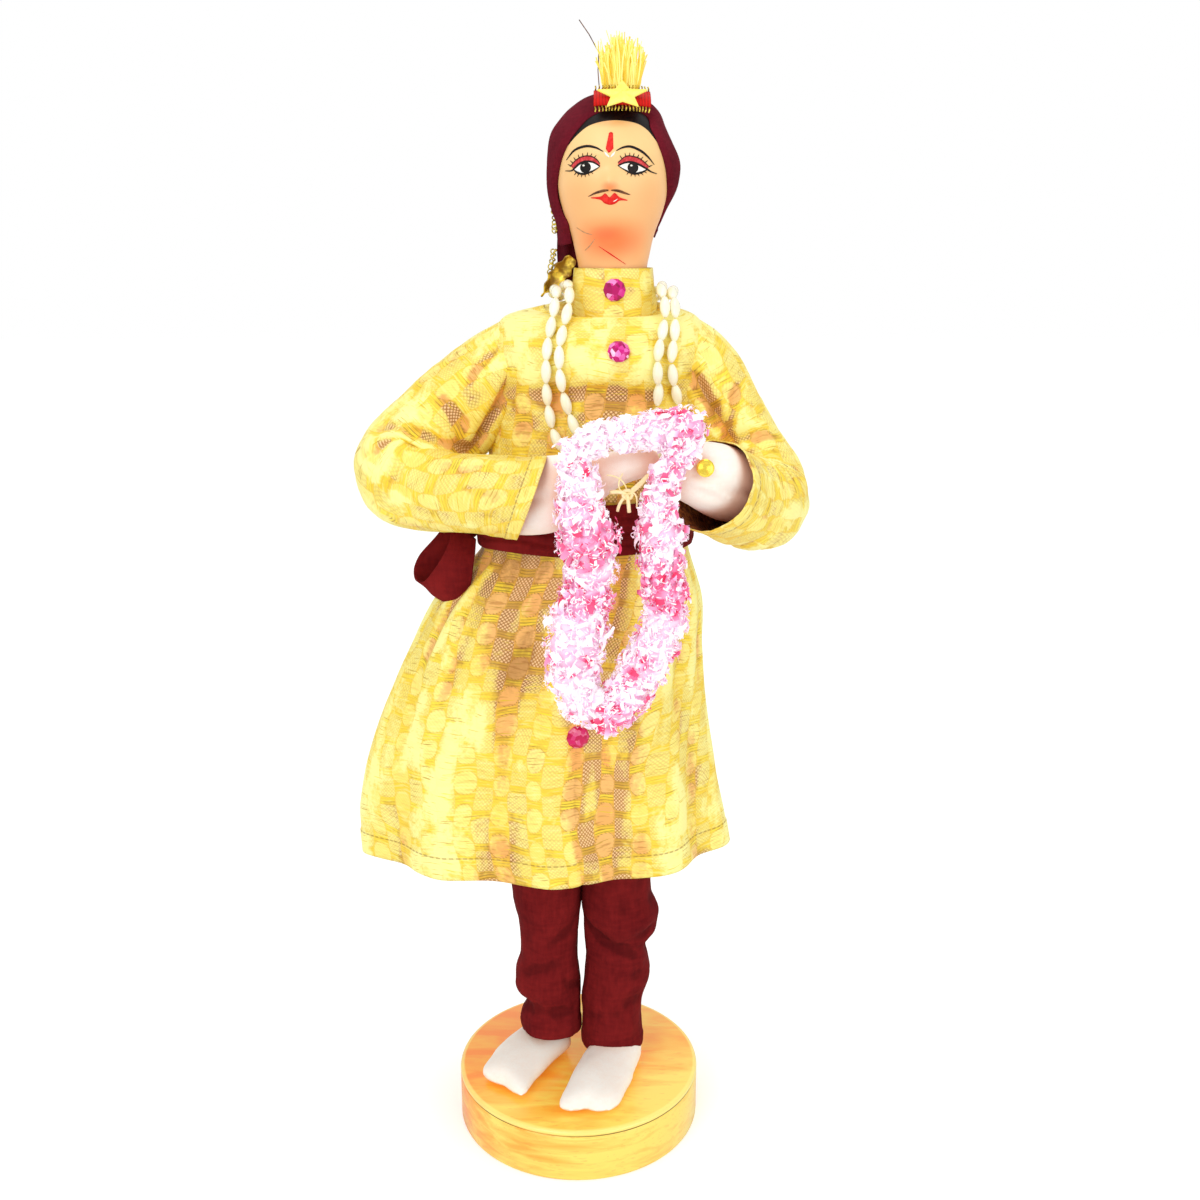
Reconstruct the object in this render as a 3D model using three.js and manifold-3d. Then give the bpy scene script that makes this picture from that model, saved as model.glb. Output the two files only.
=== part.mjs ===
// Folk costume doll: a stuffed cloth figure on a wire frame, dressed in brocade.
// It stands on a turned wooden base.
// Millimetres, +Z up. The origin is the centre of the base's underside, and the doll faces -Y.
// Right and left are the doll's own, so its right arm is on the -X side.
import * as THREE from 'three';
import { mergeVertices } from 'three/addons/utils/BufferGeometryUtils.js';
import Module from 'manifold-3d';

const wasm = await Module();
wasm.setup();

// Driving dimensions

const GAP = 0.3; // clearance between pieces that touch on the real doll
const CLOTH = 0.9; // wall of a cloth shell

const BASE_RADIUS = 36;
const BASE_HEIGHT = 16;
const BASE_EDGE = 0.8; // round of the top and bottom edges
const BASE_GROOVE = 0.4; // depth of the turned line under the rim
const BASE_RIM = 1.6; // height of the rim above that line

const LEG_WIRE_RADIUS = 1.25;
const LEG_WIRE_SOCKET = 10; // depth of the wire in the base
const LEG_WIRE_IN_TORSO = 18;
const LEG_Y = 1;
const RIGHT_LEG_X = -9.7;
const LEFT_LEG_X = 11.7;
const ANKLE_RADIUS = 6.8;
const CALF_RADIUS = 7.9;
const THIGH_RADIUS = 8.1;
const FOOT_HEIGHT = 9.6; // from the base to the top of the instep
const FOOT_WIDTH = 16.5;
const TOE_WIDTH = 13.5;
const TOE_HEIGHT = 4.6;
const RIGHT_FOOT_LENGTH = 28;
const LEFT_FOOT_LENGTH = 37;
const HEEL_BEHIND_LEG = 5.5;
const RIGHT_FOOT_TURN = 35; // degrees round from straight ahead
const LEFT_FOOT_TURN = 18;
const TROUSER_BUNCH = 0.5; // height of the bunched folds
const RIGHT_TROUSER_LIFT = 2.2; // right hem above the left one

const LEG_LENGTH = 94; // from the instep to the hip
const HIP_HALF_WIDTH = 21;
const HIP_HALF_DEPTH = 13;
const HEM_ABOVE_BASE = 73;
const SKIRT_LENGTH = 92;
const HEM_HALF_WIDTH = 51;
const HEM_HALF_DEPTH = 30;
const HEM_X = -9.2; // the skirt swings to the doll's right
const SKIRT_FOLDS = 9;
const SKIRT_FOLD_DEPTH = 2.2;
const WAIST_X = 3.3;
const WAIST_HALF_WIDTH = 29;
const WAIST_HALF_DEPTH = 20;
const BODICE_LENGTH = 59; // from the waist to the shoulder line
const CHEST_HALF_WIDTH = 28;
const CHEST_HOLLOW = 1.8; // the front is drawn in this far under the full chest
const SHOULDER_X = 6.6;
const SHOULDER_HALF_WIDTH = 26.5;
const NECK_X = 10;
const NECK_RADIUS = 9.2;
const NECK_HOLE_RADIUS = 11.4;
const NECK_HOLE_DROP = 3.4; // the front of the neckline is this much below its back, halved each way
const COLLAR_HEIGHT = 10.5;
const TORSO_EASE = 0.7; // between the stuffed torso and the bodice
const SPINE_RADIUS = 2.5;
const SPINE_IN_HEAD = 14;
const SPINE_LENGTH = 112;

const HEAD_HALF_WIDTH = 14.3;
const HEAD_HALF_DEPTH = 14.4;
const HEAD_HEIGHT = 40; // above the collar
const NOSE = 1.5;
const TURBAN_WRAP = 2.9; // thickness of the wound cloth at the sides
const TURBAN_TOP = 1.5;
const TURBAN_HEM = 8; // its lower edge above the collar
const FACE_OPENING_HALF_WIDTH = 14.9;
const FACE_OPENING_BACK = -1.5;
const TAIL_LENGTH = 11;
const TAIL_WIDTH = 6.4;
const TAIL_THICKNESS = 4.6;
const LACE_WIDTH = 2;
const LACE_THICKNESS = 0.8;
const LEAF_THICKNESS = 1.3;

const PLUME_TILT = 57; // degrees that the ornament leans back
const PLUME_X = 2; // the ornament sits left of the face's middle
const BAND_WIDTH = 14.4;
const BAND_LENGTH = 8;
const BAND_THICKNESS = 0.9;
const STAR_RADIUS = 6.4;
const STAR_THICKNESS = 0.6;
const STAR_DROP = 3.4; // how far the star is down the slope from the middle of the ribbon
const TUFT_WIDTH = 11;
const TUFT_DEPTH = 2.2;
const TUFT_HEIGHT = 12.5;
const TUFT_ROWS = 3;
const TUFT_COLUMNS = 22;
const TUFT_SPREAD = 5; // how far the outer strands lean out at the top
const STRAND_RADIUS = 0.17;

const ARM_RADIUS = 7.6;
const ARM_WIRE_RADIUS = 1;
const ARM_WIRE_Y = 7; // the wire passes behind the spine
const ARM_WIRE_IN_HAND = 7;
const SLEEVE_SHOULDER_RADIUS = 12.4;
const SLEEVE_ELBOW_RADIUS = 12;
const RIGHT_CUFF_RADIUS = 10.6;
const LEFT_CUFF_RADIUS = 12.4;
const CUFF_DEPTH = 6; // how far the hand reaches back into the sleeve
const RIGHT_HAND_LENGTH = 24;
const LEFT_HAND_LENGTH = 23;
const RIGHT_HAND_HALF_HEIGHT = 9;
const LEFT_HAND_HALF_HEIGHT = 10.6;
const HAND_FLATNESS = 0.52;
const THUMB_RADIUS = 3.2;

// Bends of the arm wires, measured below the shoulder line and forward of the spine.
// An elbow is out past its shoulder, and a wrist or fingertip to the left of the neck.
const SHOULDER_BEND = { inside: 2, back: 3, below: 14 };
const RIGHT_ELBOW = { out: 28, forward: 3, below: 43 };
const RIGHT_WRIST = { left: -21, forward: 33, below: 44.7 };
const RIGHT_FINGERS = { left: -2, forward: 36, below: 43 };
const LEFT_ELBOW = { out: 18, forward: 4, below: 49 };
const LEFT_WRIST = { left: 26.5, forward: 29, below: 45 };
const LEFT_FINGERS = { left: 13, forward: 38.5, below: 35 };

const SASH_WIDTH = 13;
const SASH_BELOW_WAIST = 3;
const SASH_THICKNESS = 1.2;
const SASH_KNOT_RADIUS = 4.2;
const SASH_LOOP_LENGTH = 24;
const SASH_LOOP_WIDTH = 11;
const SASH_RIBBON = 12; // width of the ribbon
const SASH_RIBBON_THICKNESS = 1.1;

const GEM_RADIUS = 3.1;
const GEM_HEIGHT = 2;
const COLLAR_GEM_BELOW_TOP = 5.5;
const CHEST_GEM_BELOW_SHOULDER = 10;
const SKIRT_GEM_ABOVE_HEM = 41;
const SKIRT_GEM_X = 0.5;
const SEQUIN_RADIUS = 2.2;

const BEAD_RADIUS = 1.65;
const BEAD_LENGTH = 6;
const STRAND_APART = 4.1; // between the two strands on the chest
const NECKLACE_HALF_WIDTH = 12.3;
const NECKLACE_DROP = 41; // from the shoulder line to the lowest bead

const GARLAND_Y = -45;
const GARLAND_X = 12.6;
const GARLAND_TOP = 31.5; // the top of the loop above the waist
const GARLAND_LENGTH = 71;
const GARLAND_HALF_WIDTH = 10.1;
const GARLAND_RIGHT_RADIUS = 6.6;
const GARLAND_LEFT_RADIUS = 5.3;
const FLOWER_SPACING = 6.6;
const TIE_RADIUS = 0.8;

// Heights that follow from them

const ANKLE_Z = BASE_HEIGHT + GAP + FOOT_HEIGHT;
const HIP_Z = ANKLE_Z + GAP + LEG_LENGTH;
const HEM_Z = BASE_HEIGHT + HEM_ABOVE_BASE;
const WAIST_Z = HEM_Z + SKIRT_LENGTH;
const SASH_TOP_Z = WAIST_Z + SASH_WIDTH - SASH_BELOW_WAIST;
const SHOULDER_Z = WAIST_Z + BODICE_LENGTH;
const COLLAR_TOP_Z = SHOULDER_Z + COLLAR_HEIGHT;
const HEAD_TOP_SHARE = 1.02;
const HEAD_TOP_Z = COLLAR_TOP_Z + HEAD_TOP_SHARE * HEAD_HEIGHT;

// Geometry tools

const vec = (x, y, z) => new THREE.Vector3(x, y, z);
const radians = THREE.MathUtils.degToRad;

// A station of a body that is built up from level ovals.
const station = (z, x, y, halfWidth, halfDepth, tilt = 0) => ({ z, x, y, halfWidth, halfDepth, tilt });

const grown = (s, by) => ({ ...s, halfWidth: s.halfWidth + by, halfDepth: s.halfDepth + by });

// The station at any height between those of a list, which rises.
function stationAt(list, z) {
  const above = list.findIndex((s) => s.z >= z);
  if (above < 0) return { ...list.at(-1), z };
  if (above === 0) return { ...list[0], z };
  const [a, b] = [list[above - 1], list[above]];
  const t = (z - a.z) / (b.z - a.z);
  const mix = (key) => THREE.MathUtils.lerp(a[key], b[key], t);
  return station(z, mix('x'), mix('y'), mix('halfWidth'), mix('halfDepth'), mix('tilt'));
}

// The points of one oval, anticlockwise from above. swell moves a point out by what it returns.
function oval(s, count, swell = () => 0) {
  return Array.from({ length: count }, (_, i) => {
    const angle = (2 * Math.PI * i) / count;
    const out = swell(angle, s);
    const y = s.y + (s.halfDepth + out) * Math.sin(angle);
    return vec(s.x + (s.halfWidth + out) * Math.cos(angle), y, s.z + s.tilt * Math.sin(angle));
  });
}

// A closed surface through rings of equal counts, with end caps, or with its last ring joined to its first.
function loft(rings, joined = false) {
  const count = rings[0].length;
  const points = rings.flat();
  const faces = [];
  const last = joined ? rings.length : rings.length - 1;
  for (let k = 0; k < last; k++) {
    const low = k * count;
    const high = ((k + 1) % rings.length) * count;
    for (let i = 0; i < count; i++) {
      const j = (i + 1) % count;
      faces.push(low + i, low + j, high + j, low + i, high + j, high + i);
    }
  }
  if (!joined) {
    const middle = (ring) => ring.reduce((sum, p) => sum.add(p), vec(0, 0, 0)).divideScalar(count);
    const start = points.push(middle(rings[0])) - 1;
    const end = points.push(middle(rings.at(-1))) - 1;
    const top = (rings.length - 1) * count;
    for (let i = 0; i < count; i++) {
      const j = (i + 1) % count;
      faces.push(start, j, i, end, top + i, top + j);
    }
  }
  return new THREE.BufferGeometry().setFromPoints(points).setIndex(faces);
}

const ovalBody = (list, count, swell) => loft(list.map((s) => oval(s, count, swell)));

// A tube of cloth whose outer face is the stations and whose inner face lies one wall inside.
function clothTube(list, count, wall, swell) {
  const outer = list.map((s) => oval(s, count, swell));
  const inner = list.map((s) => oval(grown(s, -wall), count, swell));
  return loft([...outer, ...inner.reverse()], true);
}

// Turns a shape that is built along +Y to run from one point towards another.
function place(geometry, from, to, side) {
  const along = to.clone().sub(from).normalize();
  const level = side ?? (Math.abs(along.z) > 0.9 ? vec(0, 1, 0) : vec(0, 0, 1));
  const out = level.clone().addScaledVector(along, -level.dot(along)).normalize();
  const across = along.clone().cross(out);
  const turn = new THREE.Matrix4().makeBasis(across, along, out);
  return geometry.applyMatrix4(turn.setPosition(from));
}

const profile = (pairs) => pairs.map(([r, h]) => new THREE.Vector2(r, h));
const lathe = (pairs, sides) => new THREE.LatheGeometry(profile(pairs), sides);

// A turned shape that stands on the XY plane.
const turned = (pairs, sides) => lathe(pairs, sides).rotateX(Math.PI / 2);

const DOME_STEPS = [0, 40, 68, 90].map(radians);

// A tapered limb with domed or flat ends.
function limb(from, to, startRadius, endRadius, { startDome = false, endDome = false, sides = 16 } = {}) {
  const long = from.distanceTo(to);
  const start = startDome
    ? DOME_STEPS.map((a) => [startRadius * Math.sin(a), -startRadius * Math.cos(a)])
    : [[0, 0], [startRadius, 0]];
  const end = endDome
    ? DOME_STEPS.map((a) => [endRadius * Math.cos(a), long + endRadius * Math.sin(a)])
    : [[endRadius, long], [0, long]];
  return place(lathe([...start, ...end], sides), from, to);
}

const rod = (from, to, radius, sides = 12) => limb(from, to, radius, radius, { sides });

// A round cord or wire along a curve.
function cord(curve, radius, sides, steps) {
  const section = new THREE.Shape().absarc(0, 0, radius, 0, 2 * Math.PI);
  const ring = new THREE.Shape(section.getSpacedPoints(sides).slice(0, sides));
  return new THREE.ExtrudeGeometry(ring, { steps, extrudePath: curve, bevelEnabled: false });
}

// A flat outline with thickness, drawn in the XZ plane as seen from the front.
function plate(outline, thickness, frontY) {
  const settings = { depth: thickness, bevelEnabled: false, curveSegments: 8 };
  const flat = new THREE.ExtrudeGeometry(outline, settings);
  return flat.rotateX(Math.PI / 2).translate(0, frontY + thickness, 0);
}

// Solids for joining and cutting

function solid(geometry) {
  const bare = new THREE.BufferGeometry().setAttribute('position', geometry.getAttribute('position'));
  const merged = mergeVertices(bare.setIndex(geometry.getIndex()), 1e-4);
  const triVerts = new Uint32Array(merged.index.array);
  const vertProperties = merged.attributes.position.array;
  return new wasm.Manifold(new wasm.Mesh({ numProp: 3, vertProperties, triVerts }));
}

const join = (...solids) => solids.reduce((a, b) => a.add(b));
const cut = (whole, ...tools) => tools.reduce((a, b) => a.subtract(b), whole);

// The largest body of a solid that a cut has left with crumbs.
const mainBody = (whole) => whole.decompose().reduce((a, b) => (a.volume() > b.volume() ? a : b));

function geometryOf(whole) {
  const { vertProperties, triVerts } = whole.getMesh();
  const geometry = new THREE.BufferGeometry();
  geometry.setAttribute('position', new THREE.BufferAttribute(vertProperties, 3));
  return geometry.setIndex(new THREE.BufferAttribute(triVerts, 1));
}

// Materials

const finish = (color, roughness, metalness = 0) =>
  new THREE.MeshStandardMaterial({ color, roughness, metalness });
const LACQUERED_WOOD = finish('#e89a3c', 0.35);
const BARE_WOOD = finish('#c9a06a', 0.7);
const STEEL_WIRE = finish('#8f9296', 0.4, 1);
const STUFFED_COTTON = finish('#f6e3d6', 0.9);
const MAROON_COTTON = finish('#5c1620', 0.85);
const TURBAN_COTTON = finish('#5e1c2c', 0.85);
const BROCADE = finish('#e3b93f', 0.45, 0.4);
const PAINTED_HEAD = finish('#eeb27c', 0.4);
const GOLD_TRIM = finish('#e8c230', 0.35, 0.8);
const RED_RIBBON = finish('#c62a20', 0.6);
const RUBY_GEM = finish('#c8176a', 0.1);
const PEARL = finish('#f6edc8', 0.25);
const FLOWERS = finish('#f3b6cf', 0.9);
const RAFFIA = finish('#e5d08a', 0.8);

const doll = new THREE.Group();
doll.name = 'folk_costume_doll';

function add(name, shape, material) {
  const mesh = new THREE.Mesh(shape.isBufferGeometry ? shape : geometryOf(shape), material);
  mesh.name = name;
  doll.add(mesh);
}

// Stations of the clothed body

const TORSO_SIDES = 20;
const SKIRT_SIDES = 40;

const shoulderStations = [
  station(SHOULDER_Z - 5, SHOULDER_X, 0, CHEST_HALF_WIDTH, 16.4),
  station(SHOULDER_Z - 2, SHOULDER_X, 0, SHOULDER_HALF_WIDTH, 13.6),
  station(SHOULDER_Z, SHOULDER_X + 1.4, 0, SHOULDER_HALF_WIDTH - 7, 12.4, NECK_HOLE_DROP / 2),
];
const neckline = station(SHOULDER_Z + 0.4, NECK_X, 0, NECK_HOLE_RADIUS, NECK_HOLE_RADIUS, NECK_HOLE_DROP);
const bodiceStations = [
  station(WAIST_Z, WAIST_X, 0, WAIST_HALF_WIDTH, WAIST_HALF_DEPTH),
  station(SASH_TOP_Z, WAIST_X + 0.8, 0, WAIST_HALF_WIDTH - 0.4, WAIST_HALF_DEPTH),
  station(WAIST_Z + 0.46 * BODICE_LENGTH, WAIST_X + 2, 0, CHEST_HALF_WIDTH, WAIST_HALF_DEPTH - CHEST_HOLLOW),
  station(WAIST_Z + 0.62 * BODICE_LENGTH, WAIST_X + 2.6, 0, CHEST_HALF_WIDTH, WAIST_HALF_DEPTH - CHEST_HOLLOW),
  station(WAIST_Z + 0.74 * BODICE_LENGTH, SHOULDER_X - 0.4, 0, CHEST_HALF_WIDTH, WAIST_HALF_DEPTH - 0.3),
  station(WAIST_Z + 0.79 * BODICE_LENGTH, SHOULDER_X - 0.2, 0, CHEST_HALF_WIDTH, WAIST_HALF_DEPTH - 0.5),
  ...shoulderStations,
];

// The skirt bells out from the waist on the doll's right, hangs straighter on its left and falls plumb at the hem.
const skirtAt = (drop, rightFlare, leftFlare) => {
  const z = WAIST_Z - GAP - drop * SKIRT_LENGTH;
  const right = THREE.MathUtils.lerp(WAIST_X - WAIST_HALF_WIDTH, HEM_X - HEM_HALF_WIDTH, rightFlare);
  const left = THREE.MathUtils.lerp(WAIST_X + WAIST_HALF_WIDTH, HEM_X + HEM_HALF_WIDTH, leftFlare);
  const halfDepth = THREE.MathUtils.lerp(WAIST_HALF_DEPTH, HEM_HALF_DEPTH, (rightFlare + leftFlare) / 2);
  return station(z, (right + left) / 2, 0, (left - right) / 2, halfDepth);
};
const skirtStations = [
  skirtAt(1, 1, 1),
  skirtAt(0.93, 1.015, 0.92),
  skirtAt(0.84, 1.02, 0.84),
  skirtAt(0.68, 0.94, 0.73),
  skirtAt(0.52, 0.79, 0.64),
  skirtAt(0.36, 0.58, 0.56),
  skirtAt(0.2, 0.33, 0.38),
  skirtAt(SASH_BELOW_WAIST / SKIRT_LENGTH, 0.03, 0.03),
  skirtAt(0, 0, 0),
];

// Folds deepen towards the hem, and a second slower wave keeps them uneven.
function skirtFold(angle, s) {
  const drop = (WAIST_Z - s.z) / SKIRT_LENGTH;
  const depth = SKIRT_FOLD_DEPTH * Math.max(0, drop - 0.15);
  return depth * (Math.cos(SKIRT_FOLDS * angle + 0.6) + 0.6 * Math.cos(4 * angle - 1));
}

// How far forward the clothed chest lies at a place on it.
function chestY(x, z) {
  const s = stationAt(bodiceStations, z);
  const across = Math.min(0.98, Math.abs(x - s.x) / s.halfWidth);
  return s.y - s.halfDepth * Math.sqrt(1 - across * across);
}

// Stations of the head

const headStation = (up, halfWidth, halfDepth, y = 0) =>
  station(COLLAR_TOP_Z + up * HEAD_HEIGHT, NECK_X - 0.2, y, halfWidth, halfDepth);
const headStations = [
  station(SHOULDER_Z + 1, NECK_X, 0.6, NECK_RADIUS - 0.7, NECK_RADIUS - 0.7),
  station(COLLAR_TOP_Z, NECK_X, 0.6, NECK_RADIUS - 0.5, NECK_RADIUS - 0.6),
  headStation(0.07, NECK_RADIUS + 0.2, NECK_RADIUS, 0.6),
  headStation(0.21, 0.75 * HEAD_HALF_WIDTH, 0.73 * HEAD_HALF_DEPTH, 0.4),
  headStation(0.33, 0.88 * HEAD_HALF_WIDTH, 0.88 * HEAD_HALF_DEPTH),
  headStation(0.45, 0.97 * HEAD_HALF_WIDTH, 0.97 * HEAD_HALF_DEPTH),
  headStation(0.57, HEAD_HALF_WIDTH, HEAD_HALF_DEPTH),
  headStation(0.71, 0.98 * HEAD_HALF_WIDTH, 0.99 * HEAD_HALF_DEPTH),
  headStation(0.83, 0.88 * HEAD_HALF_WIDTH, 0.9 * HEAD_HALF_DEPTH),
  headStation(0.92, 0.7 * HEAD_HALF_WIDTH, 0.72 * HEAD_HALF_DEPTH),
  headStation(0.98, 0.46 * HEAD_HALF_WIDTH, 0.48 * HEAD_HALF_DEPTH),
  headStation(HEAD_TOP_SHARE, 0.16 * HEAD_HALF_WIDTH, 0.16 * HEAD_HALF_DEPTH),
];
const HEAD_SIDES = 22;
const NOSE_UP = 0.5; // height of the nose's tip on the head
const FRONT = 1.5 * Math.PI;

function noseSwell(angle, s) {
  const up = (s.z - COLLAR_TOP_Z) / HEAD_HEIGHT;
  const tall = Math.exp(-(((up - NOSE_UP) / 0.09) ** 2));
  return NOSE * tall * Math.exp(-(((angle - FRONT) / 0.13) ** 2));
}

const headBody = (by) => solid(ovalBody(headStations.map((s) => grown(s, by)), HEAD_SIDES));

// The wound cloth over the head, grown by any amount, before the face opening is cut.
function turbanBody(by) {
  const lowest = COLLAR_TOP_Z + TURBAN_HEM - by;
  const rings = headStations.filter((s) => s.z > lowest + 1).map((s) => {
    const up = (s.z - COLLAR_TOP_Z) / HEAD_HEIGHT;
    const wrap = THREE.MathUtils.lerp(TURBAN_WRAP, TURBAN_TOP, THREE.MathUtils.smoothstep(up, 0.6, 0.86));
    const raise = (TURBAN_TOP + by) * THREE.MathUtils.smoothstep(up, 0.6, 1.05);
    return { ...grown(s, wrap + by), z: s.z + raise };
  });
  const hem = grown(stationAt(headStations, lowest), TURBAN_WRAP - 0.6 + by);
  const fold = new THREE.SphereGeometry(1, 12, 8).scale(4.4 + by, 6 + by, 11 + by);
  fold.translate(NECK_X + HEAD_HALF_WIDTH - 0.6, 2.5, COLLAR_TOP_Z + 0.55 * HEAD_HEIGHT);
  return join(solid(ovalBody([{ ...hem, z: lowest }, ...rings], HEAD_SIDES)), solid(fold));
}

// Turned base

const rimZ = BASE_HEIGHT - BASE_RIM;
const baseTurning = turned([
  [0, 0],
  [BASE_RADIUS - BASE_EDGE, 0],
  [BASE_RADIUS, BASE_EDGE],
  [BASE_RADIUS, rimZ - BASE_GROOVE],
  [BASE_RADIUS - BASE_GROOVE, rimZ],
  [BASE_RADIUS, rimZ + BASE_GROOVE],
  [BASE_RADIUS, BASE_HEIGHT - BASE_EDGE],
  [BASE_RADIUS - 0.3 * BASE_EDGE, BASE_HEIGHT - 0.3 * BASE_EDGE],
  [BASE_RADIUS - BASE_EDGE, BASE_HEIGHT],
  [0, BASE_HEIGHT],
], 44);

const legX = { right: RIGHT_LEG_X, left: LEFT_LEG_X };
const socketZ = BASE_HEIGHT - LEG_WIRE_SOCKET;
const wireTopZ = HIP_Z + LEG_WIRE_IN_TORSO;
const legWire = (side, by) =>
  rod(vec(legX[side], LEG_Y, socketZ - by), vec(legX[side], LEG_Y, wireTopZ + by), LEG_WIRE_RADIUS + by, 10);
const legBores = ['right', 'left'].map((side) => solid(legWire(side, GAP)));

add('base_disc', cut(solid(baseTurning), ...legBores), LACQUERED_WOOD);

// Legs, feet and trousers

function foot(x, turn, long) {
  const heading = vec(-Math.sin(radians(turn)), -Math.cos(radians(turn)), 0);
  const across = vec(-heading.y, heading.x, 0);
  const heel = vec(x, LEG_Y, BASE_HEIGHT + GAP).addScaledVector(heading, -HEEL_BEHIND_LEG);
  const slices = [
    [0, 0.5 * FOOT_WIDTH, 0.6 * FOOT_HEIGHT],
    [0.06, 0.72 * FOOT_WIDTH, 0.92 * FOOT_HEIGHT],
    [0.3, 0.82 * FOOT_WIDTH, FOOT_HEIGHT],
    [0.55, FOOT_WIDTH, 0.82 * FOOT_HEIGHT],
    [0.82, THREE.MathUtils.lerp(FOOT_WIDTH, TOE_WIDTH, 0.6), 1.25 * TOE_HEIGHT],
    [0.96, TOE_WIDTH, TOE_HEIGHT],
    [1, 0.85 * TOE_WIDTH, 0.6 * TOE_HEIGHT],
  ];
  const rings = slices.map(([t, width, height]) =>
    Array.from({ length: 12 }, (_, i) => {
      const angle = (2 * Math.PI * i) / 12;
      const rise = Math.sign(Math.sin(angle)) * Math.abs(Math.sin(angle)) ** 0.6;
      const p = heel.clone().addScaledVector(heading, t * long);
      p.addScaledVector(across, 0.5 * width * Math.cos(angle));
      return p.add(vec(0, 0, 0.5 * height * (1 + rise)));
    }));
  return loft(rings);
}

// A stuffed leg swells at the calf and thigh.
const legStations = (x) => [
  station(ANKLE_Z + GAP, x, LEG_Y, ANKLE_RADIUS, ANKLE_RADIUS),
  station(ANKLE_Z + 0.14 * LEG_LENGTH, x, LEG_Y, ANKLE_RADIUS, ANKLE_RADIUS),
  station(ANKLE_Z + 0.4 * LEG_LENGTH, x, LEG_Y, CALF_RADIUS, CALF_RADIUS),
  station(ANKLE_Z + 0.6 * LEG_LENGTH, x, LEG_Y, 0.95 * CALF_RADIUS, 0.95 * CALF_RADIUS),
  station(HIP_Z - GAP, x, LEG_Y, THIGH_RADIUS, THIGH_RADIUS),
];

// Trousers bunch in soft rings above the instep.
function trouserLeg(x, lift) {
  const leg = legStations(x);
  const bottom = ANKLE_Z + GAP + lift;
  const top = HIP_Z - GAP;
  const rows = 9;
  const list = Array.from({ length: rows + 1 }, (_, i) => {
    const t = i / rows;
    const bunch = TROUSER_BUNCH * (1 + Math.sin(2.1 * i + x)) * (1 - 0.6 * t);
    return grown(stationAt(leg, THREE.MathUtils.lerp(bottom, top, t)), GAP + CLOTH + bunch);
  });
  return clothTube(list, 12, CLOTH);
}

for (const side of ['right', 'left']) {
  const x = legX[side];
  const [turn, long, lift] = side === 'right'
    ? [RIGHT_FOOT_TURN, RIGHT_FOOT_LENGTH, RIGHT_TROUSER_LIFT]
    : [LEFT_FOOT_TURN, LEFT_FOOT_LENGTH, 0];
  add(`${side}_leg_wire`, legWire(side, 0), STEEL_WIRE);
  add(`${side}_foot`, cut(solid(foot(x, turn, long)), ...legBores), STUFFED_COTTON);
  add(`${side}_leg`, cut(solid(ovalBody(legStations(x), 16)), ...legBores), STUFFED_COTTON);
  add(`${side}_trouser_leg`, trouserLeg(x, lift), MAROON_COTTON);
}

// Arms: shoulder, elbow and wrist are bent wire inside stuffed cloth

const shoulderAt = (side) => vec(
  SHOULDER_X + side * (SHOULDER_HALF_WIDTH - SHOULDER_BEND.inside),
  SHOULDER_BEND.back,
  SHOULDER_Z - SHOULDER_BEND.below,
);
const elbowAt = (side, { out, forward, below }) =>
  vec(SHOULDER_X + side * (SHOULDER_HALF_WIDTH + out), -forward, SHOULDER_Z - below);
const handAt = ({ left, forward, below }) => vec(NECK_X + left, -forward, SHOULDER_Z - below);

const arms = {
  right: {
    shoulder: shoulderAt(-1),
    elbow: elbowAt(-1, RIGHT_ELBOW),
    wrist: handAt(RIGHT_WRIST),
    fingers: handAt(RIGHT_FINGERS),
    cuffRadius: RIGHT_CUFF_RADIUS,
    handLength: RIGHT_HAND_LENGTH,
    handHalfHeight: RIGHT_HAND_HALF_HEIGHT,
  },
  left: {
    shoulder: shoulderAt(1),
    elbow: elbowAt(1, LEFT_ELBOW),
    wrist: handAt(LEFT_WRIST),
    fingers: handAt(LEFT_FINGERS),
    cuffRadius: LEFT_CUFF_RADIUS,
    handLength: LEFT_HAND_LENGTH,
    handHalfHeight: LEFT_HAND_HALF_HEIGHT,
  },
};

const stepBack = (from, to, by) => to.clone().add(from.clone().sub(to).setLength(by));

// One arm as two limbs that meet in a round elbow.
function arm({ shoulder, elbow, wrist }, radii, wristCut, options) {
  const [top, middle, end] = radii;
  const upper = limb(shoulder, elbow, top, middle, { endDome: true, ...options });
  const lower = limb(elbow, stepBack(elbow, wrist, wristCut), middle, end, { ...options, startDome: true });
  return join(solid(upper), solid(lower));
}

const sleeveRadii = (side, by) =>
  [SLEEVE_SHOULDER_RADIUS, SLEEVE_ELBOW_RADIUS, arms[side].cuffRadius].map((r) => r + by);
const armCore = (side, by) =>
  arm(arms[side], Array(3).fill(ARM_RADIUS + by), CUFF_DEPTH - by, { sides: 10 });

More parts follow.
